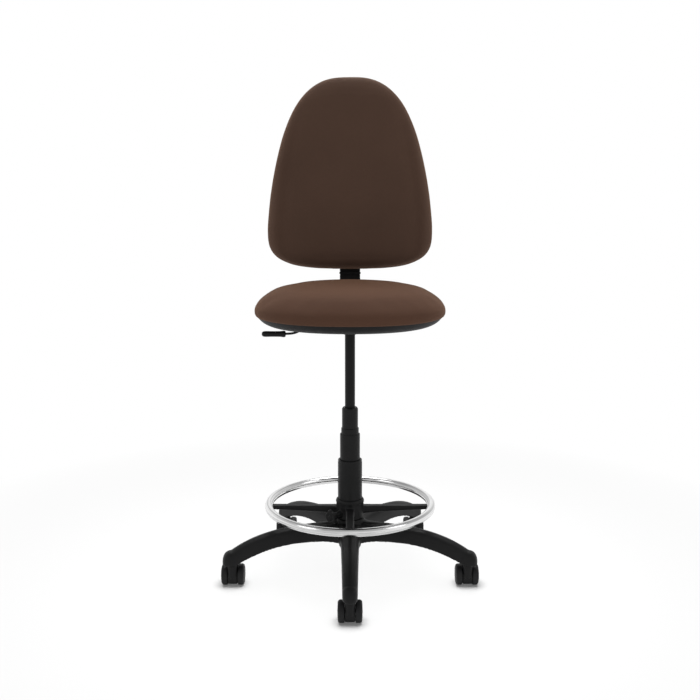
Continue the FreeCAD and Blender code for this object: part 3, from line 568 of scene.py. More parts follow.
def buildStarBase():
    stems = np.array(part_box("caster_stem_front"))
    reach = -(stems[0][1] + stems[1][1]) / 2
    r, loop = armLoops(starBase, reach)
    arm = skin(strung(r, loop))
    ribs = crossRibs(starBase, reach, r, armShape(starBase, reach)[2])
    boss, legLow, legHigh = starBase["boss"], starBase["legLow"], starBase["legHigh"]
    leg = turned([(0, legLow), (boss, legLow), (boss + 1 * mm, legHigh), (0, legHigh)], 48)
    solids = []
    for angle in armTurns:
        along, side = (math.cos(angle), math.sin(angle), 0), (-math.sin(angle), math.cos(angle), 0)
        solids += [moved(solid, right=along, ahead=side) for solid in [arm] + ribs]
        solids.append(moved(leg, origin=np.array(along) * reach))
    solids.append(hubSolid(starBase))
    piece = makePiece("starBase", solids, "root", baseNylon, ["star_base"])
    return mould(piece, starBase["voxel"], 3)


buildStarBase()
print("star base done")


# casters: a hood and two wheels on each

caster = {
    "hoodHalf": 11.8 * mm,
    "hoodGap": 6.5 * mm,       # the hood's least height over the floor
    "boss": 10 * mm,
    "steps": 96,
    "openFrom": math.radians(40),
    "openSpan": math.radians(228),
    "voxel": 1.1 * mm,
    "wheelGap": 0.5 * mm,      # the wheels are this much narrower than their CAD nodes
}


def hoodSolid(centre, radius, facts):
    # radius about the axle: boss + (radius - boss) * window(angle), kept above the floor gap; the angle is 0
    # at the rear and a quarter turn at the top, and the window, a steep rise times a steep fall, is open from
    # the rear of the top, over the front, to the underside
    angle = np.arange(facts["steps"]) * turn / facts["steps"]
    swing = np.mod(angle - facts["openFrom"], turn)
    window = 1 / (1 + np.exp((swing - facts["openSpan"]) * 14)) * (1 / (1 + np.exp(-(swing - 0.12) * 30)))
    reach = facts["boss"] + (radius - facts["boss"]) * window
    down = np.maximum(-np.sin(angle), 1e-3)
    reach = np.minimum(reach, (centre[2] - facts["hoodGap"]) / down)
    across = facts["hoodHalf"] * np.array([-1, -0.97, -0.86, -0.5, 0, 0.5, 0.86, 0.97, 1])
    inset = 1 - np.array([0.09, 0.04, 0.01, 0, 0, 0, 0.01, 0.04, 0.09])
    scaled = reach[None, :] * inset[:, None]
    grid = np.stack([np.broadcast_to(across[:, None], scaled.shape), scaled * np.cos(angle),
                     scaled * np.sin(angle)], axis=-1)
    return moved(skin(grid), origin=centre)


def wheelProfile(radius, width):
    # tread, rounded shoulders, a ring groove on the outer face and a domed cap in the middle
    return [(0, 0), (4 * mm, 0), (radius - 4 * mm, 0), (radius - 0.6 * mm, 1.2 * mm), (radius, 3.5 * mm),
            (radius, width - 6.5 * mm), (radius - 0.9 * mm, width - 3.5 * mm),
            (radius - 3.2 * mm, width - 1.2 * mm), (radius - 6 * mm, width - 0.4 * mm),
            (radius - 7.2 * mm, width - 1.6 * mm), (radius - 8.4 * mm, width - 0.3 * mm), (10.5 * mm, width),
            (9.5 * mm, width - 1.2 * mm), (8.5 * mm, width), (0, width + 0.4 * mm)]


def buildHood(name, centre, radius):
    # the hood and a neck round the stem, as one moulding
    stem = np.array(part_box(f"caster_stem_{name}"))
    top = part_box(f"caster_hood_{name}")[1][2]
    stemAt = (stem[0] + stem[1]) / 2
    neckRadius = caster["hoodHalf"] * 0.98
    neck = turned([(0, radius), (neckRadius, radius), (neckRadius, top), (0, top)], 48)
    solids = [hoodSolid(centre, radius - 0.4 * mm, caster), moved(neck, origin=(stemAt[0], stemAt[1], 0))]
    piece = makePiece(f"hood_{name}", solids, f"caster_{name}", casterNylon,
                      [f"caster_hood_{name}"])
    mould(piece, caster["voxel"], 4)


def buildWheel(name, side, inner, centre, profile, sign):
    solid = moved(turned(profile, 72, 0.5 * mm), origin=(inner, centre[1], centre[2]),
                  right=(0, 1, 0), ahead=(0, 0, 1), up=(sign, 0, 0))
    makePiece(f"wheel_{side}_{name}", [solid], f"wheels_{name}", wheelNylon,
              [f"caster_wheel_{side}_{name}"])


def buildCasters():
    for name in armNames:
        left = np.array(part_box(f"caster_wheel_left_{name}"))
        right = np.array(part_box(f"caster_wheel_right_{name}"))
        centre = (left[0] + right[1]) / 2
        radius = (left[1][2] - left[0][2]) / 2
        width = left[1][0] - left[0][0]
        buildHood(name, centre, radius)
        profile = wheelProfile(radius, width - caster["wheelGap"])
        buildWheel(name, "left", left[1][0], centre, profile, -1)
        buildWheel(name, "right", right[0][0], centre, profile, 1)


buildCasters()
print("casters done")


# column: standpipe, sleeve, guide bush and gas cylinder

column = {"steps": 128, "edge": 1.6 * mm}


def tubeProfile(inner, outer, low, high):
    return [(inner, low), (outer, low), (outer, high), (inner, high)]


def buildPipes():
    # plain tubes; the top of the sleeve is turned down by lip
    for node, inner, lip in (("column_pipe", 23 * mm, 0), ("ring_sleeve", 25.1 * mm, 0.6 * mm)):
        low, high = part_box(node)
        profile = tubeProfile(inner, high[0], low[2], high[2])
        if lip:
            profile[2:3] = [(high[0], high[2] - 7 * mm), (high[0] - lip, high[2] - 6 * mm),
                            (high[0] - lip, high[2])]
        solid = turned(profile, column["steps"], column["edge"], hollow=True)
        makePiece(node + "_turned", [solid], "root", blackSteel, [node])


def buildGuideBush():
    # a flush lower part in the pipe, a shoulder above it and a narrower nose, bored for the cylinder
    low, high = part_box("guide_bush")
    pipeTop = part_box("column_pipe")[1][2]
    body, shoulder, nose, bore = high[0] * 0.995, 22 * mm, 20 * mm, 12.6 * mm
    profile = [(bore, low[2]), (body, low[2]), (body, pipeTop - 1 * mm), (shoulder, pipeTop),
               (shoulder, pipeTop + 15 * mm), (nose, pipeTop + 15.2 * mm), (nose, high[2] - 4 * mm),
               (nose - 2.5 * mm, high[2]), (bore, high[2])]
    solid = turned(profile, column["steps"], 1.2 * mm, hollow=True)
    makePiece("guideBush", [solid], "root", acetal, ["guide_bush"])


def buildGasCylinder():
    # a plain cylinder whose top tapers into the seat's socket
    low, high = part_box("gas_cylinder")
    radius = high[0]
    profile = [(0, low[2]), (radius, low[2]), (radius, high[2] - 25 * mm), (radius - 0.6 * mm, high[2]),
               (0, high[2])]
    solid = turned(profile, column["steps"], 0.6 * mm)
    makePiece("gasCylinder", [solid], "seat", tubeSteel, ["gas_cylinder"])


buildPipes()
buildGuideBush()
buildGasCylinder()
print("column done")


# foot ring: ring, spider and clamp knob

ringSet = {
    "around": 288,
    "section": 40,
    "voxel": 1.6 * mm,
    "spokeHalf": 10 * mm,
    "spokeFrom": 32 * mm,
    "collarBore": 30.7 * mm,
    "collarOuter": 35 * mm,
}


def ringSize():
    # radius of the ring's middle line, radius of its tube and level of its middle
    low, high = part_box("foot_ring")
    tube = (high[2] - low[2]) / 2
    return high[0] - tube, tube, (high[2] + low[2]) / 2


def clampPlace():
    # the clamp points outwards between the front and left spokes: heading, side, level and the knob's reach
    knob = np.array(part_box("ring_knob"))
    heading = np.array([-1, -1, 0]) / math.sqrt(2)
    side = np.array([1, -1, 0]) / math.sqrt(2)
    return heading, side, (knob[0][2] + knob[1][2]) / 2, np.linalg.norm((knob[0] + knob[1])[:2]) / 2


def buildFootRing():
    # r = radius + tube cos b, z = middle + tube sin b
    radius, tube, middle = ringSize()
    a = np.arange(ringSet["around"])[:, None] * turn / ringSet["around"]
    b = np.arange(ringSet["section"])[None, :] * turn / ringSet["section"]
    away = radius + tube * np.cos(b)
    grid = np.stack([away * np.cos(a), away * np.sin(a), middle + tube * np.sin(b) + 0 * a], axis=-1)
    makePiece("footRing", [skin(grid, ring=True)], "foot_ring_assembly", chrome, ["foot_ring"])


def spoke():
    # a chamfered bar from the collar into the ring's tube, deepest and widest at the collar
    radius, tube, middle = ringSize()
    r = np.linspace(ringSet["spokeFrom"], radius - tube * 0.35, 40)
    part = (r - r[0]) / (r[-1] - r[0])
    upper = middle - 2.8 * mm + 0.6 * mm * part
    lower = middle - 22.5 * mm + 10 * mm * part ** 0.8
    half = ringSet["spokeHalf"] * (1.15 - 0.15 * np.minimum(part * 5, 1))
    corners = [(-half, lower + 2 * mm), (-half, upper), (half, upper), (half, lower + 2 * mm),
               (half * 0.6, lower), (-half * 0.6, lower)]
    return skin(strung(r, eased(sections(corners), 3.5 * mm, steps=5)))


def buildSpider():
    # a beaded collar with four spokes, and a boss for the clamp screw
    low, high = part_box("ring_spider")
    bore, outer, top = ringSet["collarBore"], ringSet["collarOuter"], high[2]
    collar = [(bore, low[2]), (outer, low[2]), (outer - 0.6 * mm, top - 14 * mm),
              (outer - 0.6 * mm, top - 12 * mm), (outer + 0.6 * mm, top - 11 * mm),
              (outer + 0.6 * mm, top - 7 * mm), (outer - 0.4 * mm, top - 4 * mm),
              (outer - 2.6 * mm, top - 1.5 * mm), (bore, top - 1.5 * mm)]
    solids = [turned(collar, 128, 0.5 * mm, hollow=True)]
    for k in range(4):
        c, s = round(math.cos(k * turn / 4)), round(math.sin(k * turn / 4))
        solids.append(moved(spoke(), right=(c, s, 0), ahead=(-s, c, 0)))
    # the boss starts where the spokes do and ends 10 mm short of the knob's middle
    heading, side, level, knobMid = clampPlace()
    bossLength = knobMid - 42 * mm
    boss = turned([(0, 0), (9.5 * mm, 0), (8 * mm, bossLength), (0, bossLength)], 48)
    foot = heading * ringSet["spokeFrom"] + np.array([0, 0, level])
    solids.append(moved(boss, origin=foot, right=side, ahead=(0, 0, 1), up=heading))
    piece = makePiece("ringSpider", solids, "foot_ring_assembly", baseNylon, ["ring_spider"])
    mould(piece, ringSet["voxel"], 3)


# radius, depth, how deep the waists go, and points round
knobs = {
    "ring": (19 * mm, 13 * mm, 0.16, 120),
    "height": (19 * mm, 13 * mm, 0.16, 120),
    "tilt": (15 * mm, 16 * mm, 0.14, 96),
}


def lobedKnob(radius, depth, dip, steps):
    # hub, undercut back, rounded rim and a shallow dish with a raised button, waisted into five lobes
    profile = [(0, 0), (radius * 0.42, 0), (radius * 0.5, depth * 0.22), (radius * 0.92, depth * 0.3),
               (radius, depth * 0.5), (radius, depth * 0.82), (radius * 0.9, depth),
               (radius * 0.62, depth * 0.99), (radius * 0.5, depth * 0.88), (radius * 0.36, depth * 0.9),
               (radius * 0.32, depth), (0, depth)]
    return turned(profile, steps, 1.2 * mm, lobes=5, depth=dip)


def buildRingKnob():
    heading, side, level, knobMid = clampPlace()
    inner = heading * (knobMid - knobs["ring"][1] / 2) + np.array([0, 0, level])
    solid = moved(lobedKnob(*knobs["ring"]), origin=inner, right=side, ahead=(0, 0, 1), up=heading)
    makePiece("ringKnob", [solid], "clamp_knob", knobPlastic, ["ring_knob"])


buildFootRing()
buildSpider()
buildRingKnob()
print("foot ring done")


# seat: pad, pan and release lever

seat = {
    "squareness": 2.24,        # 2 is an ellipse
    "edgePower": 4.0,          # the larger, the flatter the middle
    "risePower": 2.87,         # the larger, the steeper the side wall
    "rearRise": 7.6 * mm,
    "sideFall": 4.2 * mm,
    "widestLevel": 19 * mm,    # above the board
    "edgeTuck": 0.966,         # how far the lower edge is drawn in
    "around": 160,
    "voxel": 5 * mm,
    "cap": 6 * mm,
    "shrink": 1.016,           # the cover draws in as it swells
    "crownDrop": 4 * mm,
    "rimDrop": 1.8 * mm,       # the cover laps down over the pan's lip
    "taut": 40,                # rounds of evening out
}


def superOval(count, halfX, halfY, squareness):
    # x = a cos|u|^(2/n), y = b sin|u|^(2/n) with their signs
    u = np.arange(count) * turn / count
    c, s = np.cos(u), np.sin(u)
    power = 2 / squareness
    across, along = (half * np.sign(w) * np.abs(w) ** power for half, w in ((halfX, c), (halfY, s)))
    return np.stack([across, along], axis=-1)


def dome(outline, middle, rows):
    # each row is (scale, height): the outline drawn towards its middle and lifted
    rows = np.asarray(rows)
    flat = middle + (outline[None, :, :] - middle) * rows[:, 0, None, None]
    height = np.broadcast_to(rows[:, 1, None, None], (*flat.shape[:2], 1))
    return np.concatenate([flat, height], axis=-1)


def seatGrid(facts, scale):
    # crown z = low + (top - low)(1 - s^p)^(1/q) + rearRise y/b - sideFall (x/a)^2, where s is 0 in the middle
    # and 1 at the rim; y/b and x/a are shares of the half length and half width
    low, high = (np.array(c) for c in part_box("seat_cushion"))
    middle = (low + high)[:2] / 2
    half = (high - low)[:2] / 2
    high[2] -= facts["crownDrop"]
    outline = superOval(facts["around"], *(half * scale), facts["squareness"]) + middle
    s = np.sin(np.linspace(math.pi / 2, 0.03, 40))
    rise = (1 - s ** facts["edgePower"]) ** (1 / facts["risePower"])
    widest = low[2] + facts["widestLevel"]
    upper = np.stack([s, np.maximum(low[2] + (high[2] - low[2]) * rise, low[2])], axis=-1)
    # below its widest level the wall is a quarter of an ellipse, drawn in to the tuck
    wall = upper[:, 1] > widest
    seam = np.interp(widest, upper[:, 1], upper[:, 0])
    t = np.linspace(0.03, 1, 9) * math.pi / 2
    rim = low[2] - facts["rimDrop"]
    lower = np.stack([seam * (facts["edgeTuck"] + (1 - facts["edgeTuck"]) * np.sin(t)),
                      rim + (widest - rim) * (1 - np.cos(t))], axis=-1)
    floor = np.stack([seam * np.linspace(0.05, facts["edgeTuck"], 12), np.full(12, rim)], axis=-1)
    grid = dome(outline, middle, np.concatenate([floor, lower, upper[wall]]))
    reach = (grid[..., :2] - middle) / half
    lifted = np.clip((grid[..., 2] - widest) / (high[2] - widest), 0, 1)
    grid[..., 2] += lifted * (facts["rearRise"] * reach[..., 1] - facts["sideFall"] * reach[..., 0] ** 2)
    return grid


def evened(mesh, field, rounds):
    # each round moves every point's value halfway to the mean of its neighbours' values
    ends = np.zeros(len(mesh.edges) * 2, np.int64)
    mesh.edges.foreach_get("vertices", ends)
    first, second = ends.reshape(-1, 2).T
    count = np.maximum(np.bincount(ends, minlength=len(field)), 1)
    for _ in range(rounds):
        sums = [np.bincount(first, part[second], len(field)) + np.bincount(second, part[first], len(field))
                for part in field.T]
        field = (field + np.stack(sums, axis=-1) / count[:, None]) / 2
    return field


# how both covers swell
swelling = {"pressure": 4, "stiffness": 15, "bending": 5, "quality": 5, "frames": 20, "smoothing": 4}


def plump(piece, facts, held):
    # voxel skin, then cloth under pressure without gravity; a point's move m is kept to
    # m * min(1, cap / |m|), and the moves are evened out so that the cover lies taut
    remesh = piece.modifiers.new("remesh", "REMESH")
    remesh.mode = "VOXEL"
    remesh.voxel_size = facts["voxel"]
    settle(piece)
    mesh = piece.data
    start = pointsOf(mesh)
    group = piece.vertex_groups.new(name="held")
    group.add(np.flatnonzero(held(start)).tolist(), 1.0, "REPLACE")
    fabric = piece.modifiers.new("cloth", "CLOTH")
    fabric.settings.use_pressure = True
    fabric.settings.uniform_pressure_force = swelling["pressure"]
    fabric.settings.effector_weights.gravity = 0
    fabric.settings.vertex_group_mass = "held"
    fabric.settings.tension_stiffness = swelling["stiffness"]
    fabric.settings.compression_stiffness = swelling["stiffness"]
    fabric.settings.bending_stiffness = swelling["bending"]
    fabric.settings.quality = swelling["quality"]
    fabric.point_cache.frame_start = 1
    fabric.point_cache.frame_end = swelling["frames"]
    for step in range(1, swelling["frames"] + 1):
        bpy.context.scene.frame_set(step)
    move = pointsOf(piece.evaluated_get(bpy.context.evaluated_depsgraph_get()).to_mesh()) - start
    size = np.linalg.norm(move, axis=1, keepdims=True)
    move *= np.minimum(1, facts["cap"] / np.maximum(size, 1e-9))
    start = start + evened(mesh, move, facts["taut"])
    piece.modifiers.clear()
    bpy.context.scene.frame_set(1)
    mesh.vertices.foreach_set("co", start.ravel())
    relax = piece.modifiers.new("relax", "SMOOTH")
    relax.iterations = swelling["smoothing"]
    finer = piece.modifiers.new("finer", "SUBSURF")
    finer.levels = finer.render_levels = 1
    settle(piece)
    shade(piece.data, 80)
    return piece


def buildSeat():
    piece = makePiece("seatPad", [skin(seatGrid(seat, seat["shrink"]))], "seat", seatFabric,
                      ["seat_cushion"])
    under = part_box("seat_cushion")[0][2] + 1 * mm
    plump(piece, seat, lambda v: v[:, 2] < under)


pan = {"wall": 2.6 * mm, "recess": 7.9 * mm, "recessScale": 0.5, "lipRise": 3 * mm, "hang": 1.8 * mm}


def buildPan():
    # the lip stands round the cushion's lower edge; the side turns in under it to a flat base with a recess
    low, high = (np.array(c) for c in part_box("seat_pan"))
    padLow, padHigh = (np.array(c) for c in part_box("seat_cushion"))
    middle = (padLow + padHigh)[:2] / 2
    half = (padHigh - padLow)[:2] / 2
    outline = superOval(192, half[0], half[1], seat["squareness"]) + middle
    floor, lip, w = low[2] - pan["hang"], high[2] + pan["lipRise"], pan["wall"]
    ceiling = floor + pan["recess"]
    recess = pan["recessScale"]
    outer = [(0.02, ceiling), (recess - 0.03, ceiling), (recess, floor + 0.6 * mm), (recess + 0.03, floor),
             (0.79, floor), (0.83, floor + 0.9 * mm), (0.872, floor + 4 * mm), (0.92, floor + 10 * mm),
             (0.955, lip - 4 * mm), (0.968, lip)]
    inner = [(0.956, lip), (0.943, lip - 4 * mm), (0.908, floor + 11 * mm), (0.86, floor + 6 * mm),
             (0.82, floor + 1.5 * mm + w), (0.78, floor + w), (recess + 0.035, floor + w),
             (recess + 0.006, floor + w), (recess - 0.03, ceiling + w), (0.02, ceiling + w)]
    rows = eased(np.array(outer + inner) * (1, 100), 0.6, 6, closed=False) / (1, 100)
    solid = skin(dome(outline, middle, rows))
    makePiece("seatPan", [solid], "seat", shellPlastic, ["seat_pan"])


lever = {
    "rod": 2.9 * mm,
    "grip": 7.6 * mm,
    "longer": 5 * mm,          # the grip against its CAD node
}


def buildLever():
    # a bent rod from the mechanism out to the grip, and an eye round the lever's pin
    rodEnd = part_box("lever_rod")[1][0]
    gripLow, gripHigh = (np.array(c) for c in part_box("lever_handle"))
    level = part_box("lever_pin")[0][2] + 2 * mm
    gripLevel = (gripLow[2] + gripHigh[2]) / 2
    inner = gripHigh[0]
    points = [(rodEnd, 0, level + 0.3 * mm), (-36 * mm, 0, level - 1 * mm),
              (inner + 36 * mm, 0, gripLevel + 9 * mm), (inner + 20 * mm, 0, gripLevel + 1 * mm),
              (inner - 14 * mm, 0, gripLevel)]
    path = eased(points, 16 * mm, 10, closed=False)
    keep = np.concatenate([[True], np.linalg.norm(np.diff(path, axis=0), axis=1) > 1e-6])
    eye = moved(turned([(0, -8 * mm), (4 * mm, -8 * mm), (4 * mm, 8 * mm), (0, 8 * mm)], 32, 0.5 * mm),
                origin=(-22 * mm, 0, level), right=(0, 0, 1), ahead=(1, 0, 0), up=(0, 1, 0))
    rod = swept(path[keep], lever["rod"])
    makePiece("leverRod", [rod, eye], "lever", leverSteel, ["lever_rod"])
    length = gripHigh[0] - gripLow[0] + lever["longer"]
    g = lever["grip"]
    profile = [(0, 0), (g * 0.75, 0), (g * 1.06, 2.5 * mm), (g * 1.06, 7 * mm), (g * 0.93, 12 * mm),
               (g * 0.9, length * 0.55), (g * 0.95, length - 9 * mm), (g * 0.85, length - 3 * mm),
               (g * 0.45, length), (0, length)]
    solid = moved(turned(profile, 64, 3 * mm), origin=(inner, 0, gripLevel), right=(0, 0.92, 0),
                  ahead=(0, 0, 1), up=(-1, 0, 0))
    makePiece("leverGrip", [solid], "lever", knobPlastic, ["lever_handle"])


buildSeat()
buildPan()
buildLever()
print("seat done")


# back: pad, shell, bar cover and two knobs

joints = {joint["name"]: joint for joint in frame["joints"]}
barUp = np.array(joints["back_height"]["axis"], float)
barOut = np.array([0, barUp[2], -barUp[1]])
pivot = np.array(joints["back_tilt"]["pos_m"], float)
barFoot = np.array([0, 0.230, pivot[2]])    # the back is measured from here, along barUp and barOut

back = {
    "half": 215.8 * mm,
    "length": 497 * mm,
    "rise": 124.5 * mm,        # its lower edge, up the bar
    "widest": 0.2075,          # the level of the widest place, as a share of the length
    "front": -75.3 * mm,       # front face, widest line and rear face, off the bar's plane
    "side": -38 * mm,
    "rear": -18 * mm,
    "around": 200,
    "voxel": 5 * mm,
    "cap": 5 * mm,
    "sides": 3.6 * mm,         # the cover draws in by this as it swells
    "foot": 4.6 * mm,
    "taut": 30,
    "rollAt": 0.9,             # the side rolls, as a share of the half width
    "rollSpread": 0.06,
    "roll": 5 * mm,
    "lumbar": 3 * mm,
}


def backOutline(facts, inset=0.0):
    # half width a cos(t)^0.741 (1 - 0.125 h + 0.217 h^2) at a height b sin(t)^1.106 above the widest level,
    # where h is that height over the length; below it the powers 0.545 and 0.587 give squarer corners
    t = np.arange(facts["around"]) * turn / facts["around"]
    across, up = np.cos(t), np.sin(t)
    half, length = facts["half"] - inset, facts["length"]
    widest = facts["widest"] * length
    rise = np.where(up > 0, (length - inset - widest) * np.abs(up) ** 1.106,
                    -(widest - inset) * np.abs(up) ** 0.587)
    ahead = np.maximum(rise, 0) / length
    width = np.where(up > 0, half * np.abs(across) ** 0.741 * (1 - 0.125 * ahead + 0.217 * ahead ** 2),
                     half * np.abs(across) ** 0.545)
    return np.stack([np.sign(across) * width, facts["rise"] + widest + rise], axis=-1)


def onBar(local):
    # (across, up, rearward) on the bar's own axes becomes a point of the frame
    return (barFoot + local[..., 0:1] * np.array([1.0, 0, 0]) + local[..., 1:2] * barUp
            + local[..., 2:3] * barOut)


def shellRows(outline, rows):
    # each row is (scale, rearward): the outline drawn towards its middle and moved along the bar's normal
    middle = np.array([0, back["rise"] + back["widest"] * back["length"] + 60 * mm])
    return dome(outline, middle, rows)


def backGrid(facts):
    # rows from the flat rear, round its edge as a quarter of an ellipse, to the side level; then forward
    # by (front - side) cos(t)^0.72 while the outline draws in by 0.15 (1 - sin(t)^0.8), and flat in front
    front, side, rear = facts["front"], facts["side"], facts["rear"]
    outline = backOutline(facts)
    level = facts["rise"] + facts["widest"] * facts["length"]
    outline[:, 0] += facts["sides"] * outline[:, 0] / facts["half"]
    outline[:, 1] -= facts["foot"] * np.clip((level - outline[:, 1]) / (level - facts["rise"]), 0, 1)
    t = np.linspace(math.pi / 2, 0.05, 24)
    ahead = np.stack([1 - 0.15 * (1 - np.sin(t) ** 0.8), side + (front - side) * np.cos(t) ** 0.72], axis=-1)
    ahead = np.concatenate([ahead, np.stack([np.linspace(0.83, 0.03, 16), np.full(16, front)], axis=-1)])
    tuck = np.linspace(0.05, 0.98, 8)
    behind = np.stack([0.965 + 0.035 * np.sin(tuck * math.pi / 2),
                       rear + (side - rear) * (1 - np.cos(tuck * math.pi / 2))], axis=-1)
    floor = np.stack([np.linspace(0.04, 0.965, 14), np.full(14, rear)], axis=-1)
    grid = shellRows(outline, np.concatenate([floor, behind, ahead]))
    # the front face swells gently at the waist
    x, h, d = grid[..., 0], grid[..., 1], grid[..., 2]
    share = np.clip((side - d) / (side - front), 0, 1) ** 1.5
    level = (h - facts["rise"]) / facts["length"]
    narrowing = 1 - np.clip(np.abs(x) / facts["half"], 0, 1) ** 3
    grid[..., 2] = d - share * narrowing * facts["lumbar"] * np.exp(-((level - 0.28) / 0.2) ** 2)
    return onBar(grid)


def addRolls(piece, facts):
    # a soft roll up each side of the front, with a valley inside it: the front moves out by
    # roll * (bell(s - rollAt) - 0.45 bell(s - rollAt + 0.11)), where bell(u) is exp(-(u / spread)^2) and s is
    # |x| over the half width at that height; it fades out towards the top and at the foot
    mesh = piece.data
    spot = pointsOf(mesh)
    up = (spot - barFoot) @ barUp
    out = (spot - barFoot) @ barOut
    outline = backOutline(facts)
    rightSide = outline[outline[:, 0] > 0]
    order = np.argsort(rightSide[:, 1])
    width = np.interp(up, rightSide[order, 1], rightSide[order, 0])
    level = (up - facts["rise"]) / facts["length"]
    share = np.abs(spot[:, 0]) / np.maximum(width, 1 * mm)
    fade = np.clip((0.86 - level) / 0.3, 0, 1) * np.clip(level / 0.1, 0, 1)
    fade *= np.clip((-35 * mm - out) / (25 * mm), 0, 1)
    crest = np.exp(-((share - facts["rollAt"]) / facts["rollSpread"]) ** 2)
    valley = np.exp(-((share - facts["rollAt"] + 0.11) / facts["rollSpread"]) ** 2)
    spot -= (facts["roll"] * fade * (crest - 0.45 * valley))[:, None] * barOut
    mesh.vertices.foreach_set("co", spot.ravel())


def buildBackPad():
    piece = makePiece("backPad", [skin(backGrid(back))], "back", backFabric, ["back_cushion"])
    plump(piece, back, lambda v: (v - barFoot) @ barOut > -22 * mm)
    addRolls(piece, back)


def buildBackShell():
    # a dished tray behind the pad: flat back, a small step and a rounded edge up to its rim
    rear, front, wall = -5.4 * mm, -19.5 * mm, 2.6 * mm
    outline = backOutline(back, 5 * mm)
    rows = [(0.03, rear), (0.84, rear), (0.852, rear - 1.3 * mm), (0.935, rear - 1.6 * mm),
            (0.978, rear - 4 * mm), (0.996, rear - 9 * mm), (1.0, front), (0.985, front),
            (0.98, rear - 9 * mm), (0.96, rear - 4 * mm - wall), (0.92, rear - 1.6 * mm - wall),
            (0.03, rear - wall)]
    line = eased(np.array(rows) * (1, 20), 0.1, 6, closed=False) / (1, 20)
    solid = skin(onBar(shellRows(outline, line)))
    makePiece("backShell", [solid], "back", shellPlastic, ["back_shell"])


def roundedBox(halfWide, near, far, levels, reach):
    # levels (up, swell): a rounded rectangle from near to far, grown by swell
    up, swell = np.asarray(levels).T
    wide, front, rear = halfWide + swell, near - swell, far + swell
    loop = eased(sections([(-wide, front), (wide, front), (wide, rear), (-wide, rear)]), reach, 6)
    return np.stack([loop[..., 0], np.broadcast_to(up[:, None], loop.shape[:2]), loop[..., 1]], axis=-1)


cover = {
    "ridgeAt": 110 * mm,
    "ridge": 1.2 * mm,
    "low": 30 * mm,
    "high": 165 * mm,
    "halfWide": 27.3 * mm,
    "near": -4.6 * mm,         # its two faces, off the bar's plane
    "far": 13.8 * mm,
}


def buildBarCover():
    # a plain sleeve over the bar, with a bead between two grooves
    c = cover
    at = c["ridgeAt"]
    levels = [(c["low"], -1.5 * mm), (c["low"] + 1.5 * mm, 0), (at - 5 * mm, 0), (at - 3.4 * mm, -0.9 * mm),
              (at - 2.6 * mm, c["ridge"]), (at + 2.6 * mm, c["ridge"]), (at + 3.4 * mm, -0.9 * mm),
              (at + 5 * mm, 0), (c["high"] - 1.5 * mm, 0), (c["high"], -1.5 * mm)]
    grid = roundedBox(c["halfWide"], c["near"], c["far"], levels, 4.5 * mm)
    makePiece("barCover", [skin(onBar(grid))], "back_arm", shellPlastic, ["bar_cover"])


def buildTiltKnob():
    box = np.array(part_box("angle_knob"))
    centre = (box[0] + box[1]) / 2
    solid = moved(lobedKnob(*knobs["tilt"]), origin=(box[0][0], centre[1], centre[2]),
                  right=(0, 1, 0), ahead=(0, 0, 1), up=(1, 0, 0))
    makePiece("tiltKnob", [solid], "tilt_knob", knobPlastic, ["angle_knob"])


def buildHeightKnob():
    # the knob and its shank, square to the bar, 225 mm up it
    shank = turned([(0, -13.5 * mm), (4 * mm, -13.5 * mm), (4 * mm, 1 * mm), (0, 1 * mm)], 32, 0.4 * mm)
    foot = barFoot + barUp * 225 * mm + barOut * 22 * mm
    solids = [moved(solid, origin=foot, right=(1, 0, 0), ahead=barUp, up=barOut)
              for solid in (lobedKnob(*knobs["height"]), shank)]
    makePiece("heightKnob", solids, "height_knob", knobPlastic, ["back_knob"])


buildBackPad()
buildBackShell()
buildBarCover()
buildTiltKnob()
buildHeightKnob()
print("back done")


# room, lamps and camera

room = {
    "floorHalf": 60.0,
    "floorTone": (0.34, 0.34, 0.34),
    "floorGlow": 0.1,          # the part of the floor's white that it gives off itself
    "fadeFrom": 0.4,           # the floor fades to plain white between these distances
    "fadeTo": 1.4,
    "sky": 1.0,
    "zenith": 0.55,            # brightness overhead, so that bright metal has something darker to mirror
}

view = {"lens": 49.3, "away": 2.3306, "height": 0.9804, "tilt": 0.171}   # tilt in radians below level


def buildFloor():
    # away from the stool it gives off the white of the room, so that no horizon shows
    half = room["floorHalf"]
    mesh = bpy.data.meshes.new("floor")
    corners = [(-half, -half, 0), (half, -half, 0), (half, half, 0), (-half, half, 0)]
    mesh.from_pydata(corners, [], [(0, 1, 2, 3)])
    floor = bpy.data.objects.new("floor", mesh)
    bpy.context.scene.collection.objects.link(floor)
    material, tree, shader = newMaterial("paleFloor", room["floorTone"], 0.8)
    shader.inputs["Specular IOR Level"].default_value = 0.1
    distance = tree.nodes.new("ShaderNodeVectorMath")
    distance.operation = "LENGTH"
    tree.links.new(tree.nodes.new("ShaderNodeTexCoord").outputs["Object"], distance.inputs[0])
    reach = mathNode(tree, "DIVIDE", mathNode(tree, "SUBTRACT", distance.outputs["Value"], room["fadeFrom"]),
                     room["fadeTo"] - room["fadeFrom"])
    glow = tree.nodes.new("ShaderNodeEmission")
    fade = tree.nodes.new("ShaderNodeMixShader")
    clamped = tree.nodes.new("ShaderNodeClamp")
    tree.links.new(reach, clamped.inputs[0])
    share = span(tree, clamped.outputs[0], room["floorGlow"], 1.0)
    tree.links.new(share, fade.inputs[0])
    tree.links.new(shader.outputs[0], fade.inputs[1])
    tree.links.new(glow.outputs[0], fade.inputs[2])
    tree.links.new(fade.outputs[0], tree.nodes["Material Output"].inputs["Surface"])
    mesh.materials.append(material)
    return floor


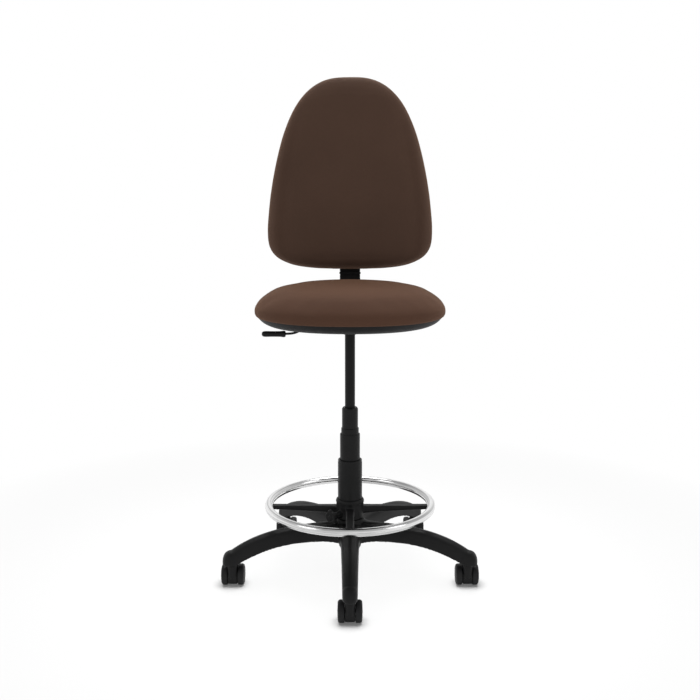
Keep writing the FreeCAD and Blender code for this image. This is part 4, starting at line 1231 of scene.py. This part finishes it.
def lampGroups(floor):
    # the lamps leave the floor out, and a wide one of its own washes it, so shadows stay close to the casters
    skipped = bpy.data.collections.new("lampsSkipFloor")
    skipped.objects.link(floor)
    skipped.collection_objects[0].light_linking.link_state = "EXCLUDE"
    washed = bpy.data.collections.new("floorOnly")
    washed.objects.link(floor)
    return skipped, washed


def buildSky():
    # white all round, darker towards the zenith
    world = bpy.data.worlds.new("studio")
    world.use_nodes = True
    tree = world.node_tree
    place = tree.nodes.new("ShaderNodeSeparateXYZ")
    tree.links.new(tree.nodes.new("ShaderNodeTexCoord").outputs["Generated"], place.inputs[0])
    top = (room["zenith"],) * 3
    tree.links.new(ramp(tree, place.outputs["Z"], 0.3, 0.75, (1, 1, 1), top),
                   tree.nodes["Background"].inputs[0])
    tree.nodes["Background"].inputs[1].default_value = room["sky"]
    bpy.context.scene.world = world


def addLight(name, place, target, size, power, shown):
    data = bpy.data.lights.new(name, "AREA")
    data.shape = "DISK"
    data.size = size
    data.energy = power
    lamp = bpy.data.objects.new(name, data)
    lamp.location = place
    lamp.rotation_euler = (Vector(target) - Vector(place)).to_track_quat("-Z", "Y").to_euler()
    lamp.light_linking.receiver_collection = shown
    bpy.context.scene.collection.objects.link(lamp)
    return lamp


def buildCamera():
    data = bpy.data.cameras.new("camera")
    data.sensor_width = 36
    data.lens = view["lens"]
    camera = bpy.data.objects.new("camera", data)
    camera.location = (0, -view["away"], view["height"])
    camera.rotation_euler = (math.pi / 2 - view["tilt"], 0, 0)
    bpy.context.scene.collection.objects.link(camera)
    bpy.context.scene.camera = camera


skipFloor, floorOnly = lampGroups(buildFloor())
buildSky()
addLight("overhead", (0, 1.1, 3.1), (0, 0, 0.6), 1.8, 60, skipFloor)
addLight("left", (-2.6, -1.2, 2.6), (0, 0, 0.6), 1.6, 13, skipFloor)
addLight("right", (2.6, -0.8, 2.6), (0, 0, 0.6), 1.6, 13, skipFloor)
floorWash = addLight("floorWash", (0, 0, 2.4), (0, 0, 0), 2.4, 182, floorOnly)
# only the casters block the floor's lamp
blockers = bpy.data.collections.new("castersBlock")
for piece in list(bpy.data.objects):
    if piece.name.startswith(("hood_", "wheel_")):
        blockers.objects.link(piece)
floorWash.light_linking.blocker_collection = blockers
buildCamera()
bpy.context.scene.view_settings.view_transform = "Standard"
print("room done")
